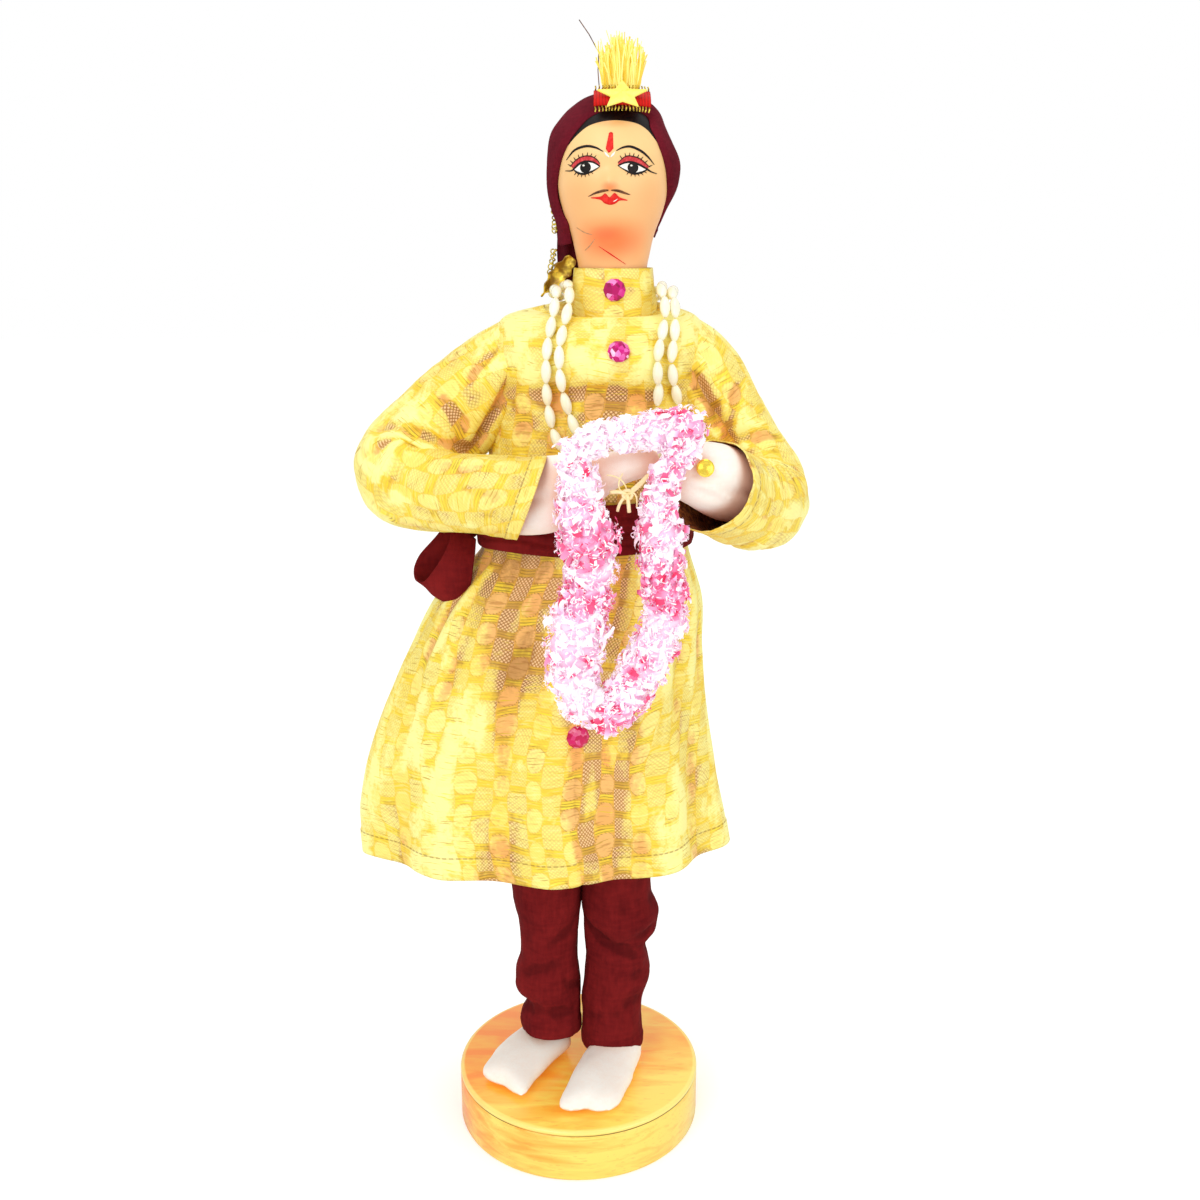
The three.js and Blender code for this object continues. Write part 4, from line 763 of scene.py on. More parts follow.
def brocade(name, stitch):
    """Gold brocade on its UV map in millimetres: columns of satin discs with yellow bars between them, and
    columns of open net with darker bars, half a repeat lower. A lit copy of it flashes yellow all over; where
    painted shade falls, in a fold or under the arms, a shaded copy shows the net and the brown ground. stitch
    is the hem's seam above the edge."""
    look = Look(name, Roughness=0.5, Metallic=0.1, Specular_IOR_Level=0.4)
    plus, minus, times, mix, between = look.plus, look.minus, look.times, look.mix, look.between
    cut = look.node("UVMap", uv_map="Cloth").outputs[0]
    cut_u, cut_v = look.parts(cut)[:2]
    # The weave isn't square: it is pulled a millimetre or so this way and that.
    pull = look.vector("MULTIPLY", cut, (0.07, 0.05, 0))[0]
    pull = look.parts(look.node("TexNoise", {"Vector": pull, "Scale": 1.0, "Detail": 1}).outputs[1])
    u = plus(cut_u, times(pull[0], 6.0))
    v = plus(cut_v, times(pull[1], 5.0))

    def inverse(a):
        return minus(1.0, a)

    def waves(value, length):
        return look.calc("SINE", times(value, TURN / length))

    def from_middle(share, size):
        return times(look.calc("ABSOLUTE", minus(look.calc("FRACT", share), 0.5)), size)

    def speckle(across_scale, along_scale, detail):
        place = look.node("CombineXYZ", {0: times(u, across_scale), 1: times(v, along_scale)}).outputs[0]
        return minus(look.noise(1.0, detail, place), 0.5)

    def either(code, other):
        """One of two colours, or between them, by the chance of the cell."""
        return mix(chance, code, other)

    # The place in the pattern: which column and row, and how far from the middle of that cell.
    shares = look.calc("DIVIDE", u, COLUMN)
    column = look.calc("FLOOR", shares)
    net = look.calc("FLOORED_MODULO", column, 2.0)
    lifted = look.calc("DIVIDE", plus(v, times(net, 0.5 * REPEAT)), REPEAT)
    across = from_middle(shares, COLUMN)
    along = from_middle(lifted, REPEAT)
    cell = look.node("CombineXYZ", {0: column, 1: look.calc("FLOOR", lifted)}).outputs[0]
    chance = look.node("TexWhiteNoise", {"Vector": cell}, noise_dimensions="2D").outputs[0]
    # The discs are round in the satin columns and nearly square in the net ones.
    square = plus(2.4, times(net, 3.6))
    wide_part = look.calc("POWER", look.calc("DIVIDE", across, 2.6), square)
    reach = plus(wide_part, look.calc("POWER", look.calc("DIVIDE", along, 3.15), square))
    disc = inverse(between(reach, 0.75, 1.1))
    rim = times(between(reach, 0.72, 0.95), inverse(between(reach, 0.98, 1.2)))
    bar = times(between(along, 3.0, 3.3), inverse(between(across, 2.0, 2.45)))
    bar = times(bar, plus(0.35, times(chance, 0.65)))
    # How much painted shade falls here, broken up in streaks along the warp, and more in some cells.
    shade_amount = plus(look.attribute("Worn"), times(speckle(0.16, 0.06, 3), 1.25))
    shade_amount = plus(shade_amount, times(minus(chance, 0.5), 0.32))
    shade_amount = plus(shade_amount, times(speckle(0.9, 0.9, 1), 0.5))
    painted_shade = between(shade_amount, 0.2, 0.75)
    # Painted glare: patches of pale yellow highlight, where little painted shade falls.
    glare = minus(times(speckle(0.07, 0.05, 2), 1.6), minus(shade_amount, 0.1))
    flash = times(between(glare, 0.1, 0.5), 0.85)
    twill = between(waves(plus(u, v), TWILL_PITCH), -0.2, 1.0)
    threads = between(waves(v, THREAD_PITCH), 0.3, 0.9)
    dashes = between(speckle(0.16, 2.6, 1), 0.14, 0.2)
    slubs = speckle(0.2, 1.5, 2)
    holes = [look.calc("POWER", waves(slant, NET_PITCH), 2.0) for slant in (plus(u, v), minus(u, v))]
    holes = between(times(*holes), 0.04, 0.4)
    knots = either("#8f5a2e", "#b57c3e")
    # The lit copy: the cloth as it looks where light falls on it. A little of the net shows even here.
    lit_copy = mix(disc, "#f5d346", either("#fae266", "#fdf088"))
    lit_copy = mix(times(rim, twill, 0.4), lit_copy, "#c98d34")
    lit_copy = mix(bar, lit_copy, either("#f6d224", "#fbe548"))
    lit_copy = mix(times(threads, bar, 0.35), lit_copy, "#b98426")
    lit_copy = mix(times(twill, 0.14), lit_copy, "#e2ab42")
    lit_copy = mix(times(between(slubs, 0.03, 0.16), 0.4), lit_copy, "#fff8a6")
    lit_copy = mix(times(between(slubs, -0.05, -0.2), 0.32), lit_copy, "#dba436")
    lit_copy = mix(times(net, disc, inverse(holes), 0.2), lit_copy, knots)
    lit_copy = mix(flash, lit_copy, "#fffaa2")
    # The shaded copy, in painted shade: satin columns go tan, and net columns show pale holes between brown
    # threads.
    satin = mix(disc, "#e2a944", either("#eda652", "#f3bf70"))
    satin = mix(bar, satin, either("#f1c01d", "#f9de3c"))
    satin = mix(times(between(slubs, -0.03, -0.15), 0.6), satin, "#b97a30")
    mesh = mix(times(disc, 0.85), "#dda550", mix(holes, knots, "#f5d09c"))
    mesh = mix(bar, mesh, either("#9a6a20", "#dcac34"))
    shaded_copy = mix(net, satin, mesh)
    shaded_copy = mix(times(threads, bar, 0.7), shaded_copy, "#74470f")
    shaded_copy = mix(times(rim, twill, 0.55), shaded_copy, "#7d4a18")
    body = mix(painted_shade, lit_copy, shaded_copy)
    # Loose wefts lie across the columns, and the bottoms of the folds get a brown painted shade.
    body = mix(times(dashes, 0.8), body, either("#fade1e", "#a8741e"))
    body = mix(times(between(shade_amount, 0.95, 1.5), 0.5), body, "#8a5014")
    # The machine stitches of the turned hem.
    line = inverse(between(look.calc("ABSOLUTE", minus(cut_v, stitch)), 0.12, 0.28))
    line = times(line, plus(0.25, times(between(waves(u, STITCH_PITCH), -0.5, -0.2), 0.4)))
    look.set(Base_Color=mix(line, body, "#9a6c22"))
    height = plus(times(disc, 0.6), times(twill, 0.2))
    height = minus(height, plus(times(painted_shade, net, holes, 0.4), line))
    look.bump(height, 0.3, 0.0003)
    return look.material


skirt_gold = brocade("gold brocade", 6.4)
bodice_gold = brocade("gold brocade of the bodice", -9.0)  # its hem is out of sight
sleeve_gold = brocade("gold brocade of the sleeves", 4.2)

# The brocade's wrong side: a mat of loose brown and gold threads, whose dark brown also paints the shade
# inside the cuffs.
wrong_side = speckled(
    "wrong side of the brocade", 900, 3, "#7a3a16", "#b8702c", band=(0.35, 0.65), Roughness=0.9
)


def dressed(name, size, place, painted_shade, material, node):
    """A piece of the tunic, with the brocade's wrong side inside."""
    piece = cloth(name, *size, place, lining=True, painted_shade=painted_shade)
    settle(piece, material, "figure", "brocade", node, inside=wrong_side)


WAIST_Z = 180.7
SKIRT_LENGTH = 92
WAIST_RIGHT, WAIST_LEFT, WAIST_DEEP = -25.7, 30.3, 20
FLARE_RIGHT, FLARE_LEFT, FLARE_DEEP = -34.5, 11.5, 5  # what the hem has more than the waist
LAP_ANGLE = 282
# How far out the skirt is between the waist and the hem, on the doll's right and on its left.
FLARE = spline(
    (
        (0, 0, 0), (0.06, 0.03, 0.05), (0.2, 0.36, 0.38), (0.36, 0.6, 0.42), (0.52, 0.8, 0.5),
        (0.68, 0.945, 0.64), (0.84, 1.02, 0.82), (0.93, 1.015, 0.92), (1, 1, 1),
    )
)


def skirt_fold(angle, drop):
    """The skirt's folds: broad ones that deepen to the hem, and the gathers that start at the waist."""
    deep = max(0, drop - 0.15)
    out = 2.2 * deep * (math.cos(9 * angle + 0.6) + 0.6 * math.cos(4 * angle - 1))
    gather = smooth(drop, 0.0, 0.12) * (1 - smooth(drop, 0.3, 0.75))
    out += gather * (2.1 * wander(angle, 4.2, 1.3 * drop) + 0.9 * wander(angle, 9.66, 2.99 * drop))
    out += 0.9 * wander(angle, 2.4, 2.6 * drop) + 0.35 * wander(angle, 7, 6 * drop)
    # The front is lapped below the gem, and the lap is pressed to a line.
    return out + smooth(drop, 0.5, 0.6) * crease(math.degrees(angle) - LAP_ANGLE, 0.8, 1.3)


def skirt_point(u, v):
    angle = seamed(u)
    drop = 1 - v
    right, left = FLARE(drop)
    # The turned hem is a second layer, and it springs out a little.
    out = skirt_fold(angle, drop) + 0.3 * smooth(drop, 0.925, 0.935)
    far_right, far_left = WAIST_RIGHT + FLARE_RIGHT * right, WAIST_LEFT + FLARE_LEFT * left
    x = 0.5 * (far_right + far_left)
    wide = 0.5 * (far_left - far_right) + out
    deep = WAIST_DEEP + FLARE_DEEP * (right + left) + out
    sag = 1.2 * wander(angle, 2, 7) * drop
    return (x + wide * math.cos(angle), deep * math.sin(angle), WAIST_Z - drop * SKIRT_LENGTH + sag)


def skirt_shade(u, v):
    """Painted shade under the hands beside the garland, behind it and on the lap below, and a painted lit
    patch on the doll's right side.
    """
    x, y, z = skirt_point(u, v)
    if y > 0:
        return 0.2
    high = bell(x, -17, 13) * smooth(z, 130, 150)
    low = bell(x, 1, 12) * (1 - smooth(z, 138, 150))
    behind = bell(x, 12, 7) * smooth(z, 144, 152)
    lit_patch = bell(x, -31, 14) * bell(z, 122, 20)
    return 0.03 + 0.72 * max(high, 0.7 * low, 0.6 * behind) + 0.2 * bell(x, -3, 22) - 0.25 * lit_patch


dressed(
    "tunic_skirt_cloth", (240, 120), skirt_point, skirt_shade, skirt_gold, "tunic_skirt"
)

# Each row is a share up the bodice, then height, x, half width, half depth and tilt of the neckline.
# The chest is full at the second gem and drawn in below it.
BODICE = spline(
    (
        (0, 181, 2.3, 28, 20, 0), (0.16, 191, 3.7, 28.2, 19.6, 0), (0.42, 208.5, 5.3, 28, 18.2, 0),
        (0.56, 217.6, 5.9, 28, 17.8, 0), (0.66, 224.2, 6.2, 28, 19.7, 0), (0.72, 228, 6.3, 28, 19.9, 0),
        (0.79, 232, 6.4, 28, 18.2, 0), (0.86, 236, 6.6, 27, 15.6, 0), (0.91, 238.6, 6.8, 24.5, 13.4, 0.6),
        (0.95, 240, 8, 19, 12.4, 1.7), (1, 240.4, 10, 11.2, 11.2, 3.4),
    )
)
# The collar's rows are the same, with y before the radius.
COLLAR = spline(
    (
        (0, 240.3, 10, 0, 11.5, 3.5), (0.3, 243, 10, 0.1, 10.9, 2.3), (0.6, 246.4, 10, 0.3, 10.6, 1.0),
        (1, 250.5, 10, 0.4, 10.2, 0.1),
    )
)


def bodice_point(u, v):
    angle = seamed(u)
    z, x, wide, deep, tilt = BODICE(v)
    out = 0.6 * wander(angle, 3, 7 * v) + 0.3 * wander(angle, 8.1, 18.9 * v)
    out *= 1 - smooth(v, 0.8, 0.98)
    # The front sags into one soft fold over the arms.
    front = max(0, -math.sin(angle)) ** 3
    out += front * crease(v - 0.59 - 0.015 * math.sin(7 * angle), 0.9, 0.03)
    return (x + (wide + out) * math.cos(angle), (deep + out) * math.sin(angle), z + tilt * math.sin(angle))


# Painted shade on the front of the chest below the second gem, where the arms and the garland shade it, and a
# little all round.
def bodice_shade(u, v):
    x, y, z = bodice_point(u, v)
    front = bell(x, 5, 19) if y < 0 else 0.25
    return 0.15 + 0.5 * front * (1 - smooth(v, 0.56, 0.68))


def collar_point(u, v):
    angle = seamed(u)
    z, x, y, radius, tilt = COLLAR(v)
    radius += 0.35 * wander(angle, 2.2, 2.5 * v) + 0.3 * math.sin(math.pi * v)
    return (x + radius * math.cos(angle), y + radius * math.sin(angle), z + tilt * math.sin(angle))


dressed(
    "tunic_bodice_cloth", (180, 80), bodice_point, bodice_shade, bodice_gold, "tunic_bodice"
)
# The collar gets an even painted shade.
dressed(
    "collar_cloth", (100, 30), collar_point, 0.14, bodice_gold, "collar",
)

# Each arm is its path from the shoulder to the fingers. Each girth is a share along it and the sleeve's
# radius there.
RIGHT_ARM = (
    (-3, 2, 231), (-17, 2, 223.5), (-32, 0.5, 212.5), (-44, -3.5, 201), (-44.5, -9.5, 195.6),
    (-34, -17, 194.3), (-22, -25, 194.8), (-10.5, -33, 195.2),
)
LEFT_ARM = (
    (21, 2, 230.5), (31.5, 2, 223), (40, 0, 210), (47, -3, 198), (49.4, -8.5, 191.2),
    (46.5, -16, 190.8), (41, -23.6, 193.8), (33.6, -33.8, 198.6),
)
RIGHT_GIRTH = (
    (0, 11.5), (0.15, 13), (0.3, 13.6), (0.44, 13.6), (0.54, 13.6), (0.64, 11.2), (0.8, 10.0), (0.95, 10.3),
    (1, 10.6),
)
LEFT_GIRTH = (
    (0, 11), (0.15, 12.4), (0.32, 11.6), (0.46, 11.6), (0.58, 12.6), (0.7, 12.4), (0.85, 11.7), (1, 11.5),
)
# Sleeve folds are written as the trouser folds are, with the share along the sleeve times 100 as the height.
RIGHT_SLEEVE_FOLDS = (
    (200, 70, 44.5, 7, 2.2, 2.2), (160, 60, 39, -5, 1.3, 2.4), (230, 50, 55, 4, 1.3, 2.2),
    (200, 45, 34.5, 0, 1.5, 1.8), (20, 60, 50, 5, 0.8, 3.0), (300, 60, 60, -6, 0.8, 2.6),
    (90, 60, 57, 5, 0.9, 2.4), (140, 70, 24, -7, 0.8, 3.0),
)
LEFT_SLEEVE_FOLDS = (
    (180, 70, 50, 6, 1.4, 2.6), (150, 60, 42, -5, 1.6, 2.4), (210, 60, 57, 4, 1.2, 2.2),
    (170, 60, 30, 5, 1.3, 2.6), (150, 90, 63, 3, 0.9, 1.2), (150, 100, 67.5, 2.5, 1.0, 1.2),
    (140, 100, 72, 2.5, 1.0, 1.2), (150, 100, 76.5, 2, 0.95, 1.2), (145, 100, 81, 2, 0.9, 1.2),
    (150, 90, 85.5, 1.5, 0.8, 1.1), (160, 80, 89.5, 1, 0.6, 1.0), (330, 90, 70, 4, 0.8, 1.6),
    (330, 90, 78, 3, 0.8, 1.6),
)
# Creases that run along a sleeve: the angle in degrees and the share along it at both ends, depth and width.
RIGHT_SLEEVE_RUNS = (
    (198, 0.1, 150, 0.36, 2.6, 1.7), (95, 0.2, 120, 0.42, 2.2, 2.2), (240, 0.1, 215, 0.26, 0.9, 1.6),
)
LEFT_SLEEVE_RUNS = (
    (168, 0.16, 174, 0.46, 2.5, 1.7), (128, 0.27, 166, 0.38, 1.7, 1.5), (235, 0.1, 255, 0.34, 2.0, 2.0),
)
ARM_SIDE = (0, 1, 0.3)


def sleeve(name, points, girth, folds, runs, shaded_angle, cut, node):
    """One sleeve, with most painted shade at the angle shaded_angle, and its cuff cut square to the vector
    cut.
    """
    rows = 130
    frames = path_frames(points, rows, ARM_SIDE)
    radius_at = spline(girth)
    cut = Vector(cut).normalized()

    def place(u, v):
        k = rows - round(v * rows)
        t = k / rows
        point, ahead, across, other = frames[k]
        before, after = frames[max(k - 3, 0)], frames[min(k + 3, rows)]
        bend = (after[1] - before[1]) / max(1e-6, (after[0] - before[0]).length)
        angle = TURN * u
        out = across * math.cos(angle) + other * math.sin(angle)
        radius = radius_at(t)[0] + folded(angle, 100 * t, folds)
        radius += 0.5 * wander(angle, 2.6, 9 * t) + 0.2 * wander(angle, 7.54, 26.1 * t)
        # The turned cuff is a second layer.
        radius += 0.25 * smooth(t, 0.955, 0.965)
        for first, start, last, end, depth, width in runs:
            share = (t - start) / (end - start)
            turn = degrees_apart(math.degrees(angle), first + (last - first) * share)
            fade = smooth(share, -0.25, 0.2) * (1 - smooth(share, 0.8, 1.25))
            radius += fade * crease(math.radians(turn) * radius, depth, width)
        # On the inside of the elbow the cloth can't pass the centre of the bend, so it is pinched there.
        inward = out.dot(bend)
        if inward > 1e-6:
            limit = 0.9 / inward
            radius = min(radius, limit if limit < 0.7 * radius else 0.7 * radius + 0.3 * limit)
        slant = -radius * out.dot(cut) / ahead.dot(cut)
        return point + out * radius + ahead * slant * smooth(t, 0.72, 1)

    def shading(u, v):
        """Painted shade at the armhole and inside the elbow."""
        turn = degrees_apart(360 * u, shaded_angle)
        return 0.08 + 0.68 * bell(turn, 0, 48) * smooth(v, 0.52, 0.66) * (1 - smooth(v, 0.88, 1))

    dressed(name, (96, rows), place, shading, sleeve_gold, node)


sleeve(
    "right_sleeve_cloth", RIGHT_ARM, RIGHT_GIRTH, RIGHT_SLEEVE_FOLDS, RIGHT_SLEEVE_RUNS, 160,
    (0.94, 0, -0.34), "right_sleeve",
)
sleeve(
    "left_sleeve_cloth", LEFT_ARM, LEFT_GIRTH, LEFT_SLEEVE_FOLDS, LEFT_SLEEVE_RUNS, 195,
    (-0.5, -0.75, 0.4), "left_sleeve",
)

# The stuffed arms inside the sleeves stop short of the cuffs.
ARM_RADIUS = 5
for name, points, node in (
    ("stuffed_right_arm", RIGHT_ARM, "right_arm"),
    ("stuffed_left_arm", LEFT_ARM, "left_arm"),
):
    rings = []
    for point, ahead, across, other in path_frames(points, 40, ARM_SIDE)[8:36]:
        rings.append([point + ARM_RADIUS * (across * math.cos(a) + other * math.sin(a)) for a in turns(16)])
    hidden_limb(name, rings, node)


# Hands

# Stuffed cotton mittens on the ends of the arm wires, with the fingers only hinted at by a few stitches.
# They are bent to hold the garland between them, and a gold sequin is glued to the left one as a ring.
FINGER_GAPS = (-0.45, 0.05, 0.5)  # shares of the half width

RIGHT_HAND = (
    (-18.4, -27.8, 195.1), (-12, -32, 195.5), (-5, -34.8, 197), (3, -36, 200.2), (11.5, -36.9, 203.6),
    (21, -37.8, 206),
)
RIGHT_HAND_SIZES = (
    (0, 9, 8.8), (0.18, 9.6, 9.4), (0.34, 9.5, 8.2), (0.5, 8, 6.6), (0.64, 5.4, 5), (0.78, 4.2, 3.8),
    (0.92, 3.7, 3.2), (0.98, 2.6, 2.2), (1, 1, 0.8),
)
LEFT_HAND = (
    (42.5, -22.5, 195.2), (37.5, -28.6, 198.4), (32.5, -33.4, 201), (27, -35.8, 202.6), (21.5, -37.2, 204.4),
)
LEFT_HAND_SIZES = (
    (0, 8.2, 8), (0.2, 9.2, 8.8), (0.45, 9, 7.8), (0.7, 7.8, 5.8), (0.88, 5.8, 4), (0.97, 3.4, 2.4),
    (1, 1, 0.8),
)


def mitten(name, points, sizes, side, node):
    """A mitten along a path; each size is a share along it, half its width and half its thickness."""
    steps, sides = 40, 40
    girth = spline(sizes)
    rings = []
    for k, (point, ahead, across, other) in enumerate(path_frames(points, steps, side)):
        t = k / steps
        wide, thick = girth(t)
        # Stitches draw the front in between the fingers, and one more in the palm marks off the thumb.
        apart = smooth(t, 0.4, 0.62)
        palm = smooth(t, 0.15, 0.25) * (1 - smooth(t, 0.5, 0.62))
        ring = []
        for a in turns(sides):
            height = math.cos(a)
            fingers = sum(bell(height, gap, 0.085) for gap in FINGER_GAPS)
            thumb = bell(height + 0.5 * t, 0.1, 0.08)
            dent = 0.24 * apart * fingers + 0.2 * palm * thumb
            ring.append(point + across * wide * height + other * thick * math.sin(a) * (1 - dent))
        rings.append(ring)
    piece = closed_rings(name, rings)
    stuff(piece, pressure=1.2, most=0.7, grain=0.7)
    settle(piece, skin_cotton, "figure", "stuffed_cotton", node)


mitten("right_mitten", RIGHT_HAND, RIGHT_HAND_SIZES, (0, 0, 1), "right_hand")
mitten("left_mitten", LEFT_HAND, LEFT_HAND_SIZES, (0.3, 0, 1), "left_hand")

# Gold foil on plastic: a mirror-bright sequin with a pressed rim.
SEQUIN_OUTLINE = (
    (0, 0.55), (0.7, 0.5), (1.2, 0.75), (1.75, 0.85), (2.15, 0.6), (2.2, 0.3), (1.8, 0.1), (0, 0),
)
SEQUIN_PLACE = (0.0318, -0.0408, 0.2040)
SEQUIN_TILT = 75
foil = speckled("gold foil", 700, 2, "#f5cf2e", "#ffe766", Metallic=0.85, Roughness=0.25)
sequin = turned("sequin", SEQUIN_OUTLINE, 40)
tilt = Matrix.Rotation(math.radians(SEQUIN_TILT), 4, "X")
sequin.data.transform(Matrix.Translation(SEQUIN_PLACE) @ tilt)
settle(sequin, foil, "figure", "gold_sequin", "hand_sequin", angle=40)


# Waist sash

# A folded strip of the trousers' cotton wound once round the waist and knotted at the doll's right side.
# The loose end is doubled back into a loop that hangs free from the knot.
SASH_Z = 177.6
SASH_TALL = 13.6
SASH_FOLDS = ((0.22, 0.55), (0.45, 0.8), (0.68, 0.6))  # share up the sash, and depth


def sash_point(u, v):
    angle = seamed(u)
    x, wide, deep = BODICE(0.16 * v)[1:4]
    height = SASH_Z + SASH_TALL * v + 0.8 * wander(angle, 2, 3)
    out = 1.5 + 0.7 * math.sin(math.pi * v)
    for place, depth in SASH_FOLDS:
        out += crease(v - place - 0.1 * wander(angle, 1.7, 9 * place), depth, 0.045)
    return (x + (wide + out) * math.cos(angle), (deep + out) * math.sin(angle), height)


sash = cloth("waist_sash_cloth", 180, 40, sash_point, thick=0.5)
settle(sash, maroon, "figure", "maroon_cotton", "waist_sash")

# The knot is the strip passed once round itself.
KNOT_X, KNOT_Y, KNOT_Z = -30, 4.5, 182
KNOT_STEPS = 24
knot_rings = []
for k in range(KNOT_STEPS + 1):
    lean = math.pi * k / KNOT_STEPS
    z = KNOT_Z - 4.8 * math.cos(lean)
    ring = []
    for angle in turns(32):
        radius = max(0.15, math.sin(lean)) * (1 + 0.1 * math.sin(3 * angle + 4 * lean))
        ring.append((KNOT_X + 3.2 * radius * math.cos(angle), KNOT_Y + 4.3 * radius * math.sin(angle), z))
    knot_rings.append(ring)
settle(closed_rings("sash_knot_cloth", knot_rings), maroon, "figure", "maroon_cotton", "sash_knot")

# The loop goes down on the outside, turns forwards at the bottom and comes back up over the skirt's side.
LOOP = spline(
    (
        (0, -31.8, 3, 181), (0.12, -34.2, 3, 177.5), (0.26, -36.8, 3, 173), (0.38, -39.4, 2.2, 168.6),
        (0.45, -40.6, -0.4, 165.4), (0.52, -39.6, -4.4, 163.6), (0.59, -37, -7.5, 164.2),
        (0.68, -34.2, -9, 168), (0.82, -31.8, -9.4, 173.5), (0.93, -30.6, -7.6, 178), (1, -30.4, -5, 181.5),
    )
)
LOOP_STEPS = 90
LOOP_ACROSS = Vector((0.8, -0.3, -0.5)).normalized()
loop_line = [Vector(LOOP(k / LOOP_STEPS)) for k in range(LOOP_STEPS + 1)]


def loop_point(u, v):
    k = round(v * LOOP_STEPS)
    ahead = (loop_line[min(k + 1, LOOP_STEPS)] - loop_line[max(k - 1, 0)]).normalized()
    wide = 4.2 + 1.8 * smooth(v, 0.1, 0.4) * (1 - smooth(v, 0.6, 0.95))
    ripple = 0.5 * math.sin(6 * u + 2 * v) + 0.5 * noise.noise(Vector((3 * u, 6 * v, 1)))
    aside = ahead.cross(LOOP_ACROSS) * ripple * (1 - abs(2 * v - 1) ** 3)
    return loop_line[k] + LOOP_ACROSS * wide * (2 * u - 1) + aside


loop = cloth("sash_loop_cloth", 24, LOOP_STEPS, loop_point, closed=False, thick=0.5)
settle(loop, maroon, "sash_end", "maroon_cotton", "sash_loop")


# Head

# A moulded head and neck in one piece, sprayed flesh colour, with orange painted shade under the chin.
# The face is brush-painted in gloss: brows, lids, lashes and lips, and a red tilak on the forehead.
# Each row is a height, and the half width and half depth there.
HEAD = spline(
    (
        (241.0, 9.0, 8.9), (250.5, 9.0, 8.9), (253.3, 9.5, 9.3), (258.9, 10.8, 10.6), (263.7, 12.6, 12.7),
        (268.5, 13.9, 14.0), (273.3, 14.3, 14.4), (278.9, 14.0, 14.25), (283.7, 12.6, 13.0),
        (287.3, 10.0, 10.4), (289.7, 6.6, 6.9), (291.3, 2.3, 2.3),
    )
)
HEAD_X = 9.8
NECK_Z = 241
HEAD_TALL = 50.3
HEAD_STEPS = 120
NOSE_X, NOSE_Z = 8.9, 270.3
BROW_Z, EYE_Z = 278, 274.5


def on_face(x, z, lift=0.0):
    """The place on the front of the head straight behind (x, z)."""
    wide, deep = HEAD(z)
    share = min(1, abs((x - HEAD_X) / wide))
    nose = 1.5 * bell(x, NOSE_X, 1.7) * bell(z, NOSE_Z, 3.4 if z > NOSE_Z else 1.2)
    brow = 0.35 * bell(z, BROW_Z, 2.2) - 0.4 * bell(z, EYE_Z, 2.0)
    away = math.sqrt(max(0.0, 1 - share * share))
    y = -deep * away - nose - brow * away
    return Vector((x, y, z)) + Vector(((x - HEAD_X) / wide, -away, 0)) * lift


head_rings = []
for k in range(HEAD_STEPS + 1):
    z = NECK_Z + HEAD_TALL * (1 - (1 - k / HEAD_STEPS) ** 1.25)
    wide, deep = HEAD(z)
    ring = []
    for angle in turns(128):
        x, y = HEAD_X + wide * math.cos(angle), deep * math.sin(angle)
        ring.append(on_face(x, z) if y < 0 else (x, y, z))
    head_rings.append(ring)
head = closed_rings("painted_head_and_neck", head_rings)

# Sprayed flesh paint: paler on the forehead and warmer on the cheeks, with orange painted shade under the
# chin and at the nose. Each patch is its centre, its size, its colour and how much of it there is at the
# centre.
FLESH_PATCHES = (
    ((9.4, -10, 257.2), (13.4, 10, 7.2), "#f77530", 0.9),
    ((8.0, -10.5, 258.8), (5.5, 6, 2.6), "#f0562a", 0.34),
    ((8.9, -15.5, 269.9), (3.2, 4, 1.9), "#f58a4e", 0.8),
    ((1.5, -12, 268.5), (7, 8, 6), "#f7b071", 0.5),
    ((18.5, -12, 268.5), (7, 8, 6), "#f7b071", 0.5),
    ((9, -13.5, 285.2), (10, 6, 1.6), "#f5a860", 0.6),
)
flesh = Look("sprayed flesh paint", Roughness=0.42, Coat_Weight=0.15, Coat_Roughness=0.3)
rise = flesh.parts(flesh.here)[2]
skin = flesh.mix(flesh.between(rise, 0.258, 0.283), "#f4b474", "#f8cd8a")
skin = flesh.mix(flesh.between(rise, 0.2585, 0.250), skin, "#f8b674")
for centre, size, code, most in FLESH_PATCHES:
    shift = flesh.vector("SUBTRACT", flesh.here, Vector(centre) * MM)[0]
    shift = flesh.vector("MULTIPLY", shift, [1 / MM / s for s in size])[0]
    away = flesh.vector("LENGTH", shift)["Value"]
    skin = flesh.mix(flesh.times(flesh.between(away, 1.0, 0.1), most), skin, code)
flesh.set(Base_Color=skin)
flesh.bump(flesh.noise(1200, 2), 0.06, 0.0002)
settle(head, flesh.material, "figure", "painted_head", "head")


def paint(name, code, thin):
    """Gloss enamel put on with a brush; the ground shows through a little where it is thin."""
    return speckled(name, 1500, 2, code, thin, band=(0.35, 0.75), Roughness=0.45, Specular_IOR_Level=0.25)


black_paint = paint("black enamel", "#060303", "#1c0d08")
brown_paint = paint("thinned black enamel", "#4a2a1c", "#8a5734")
white_paint = paint("white enamel", "#fffdf6", "#f3e9dc")
red_paint = paint("red enamel", "#dc1a14", "#ea342a")
lid_paint = paint("rose enamel", "#bf2c32", "#e8585a")
grey_paint = paint("pencil scratch", "#b58a68", "#d9a877")


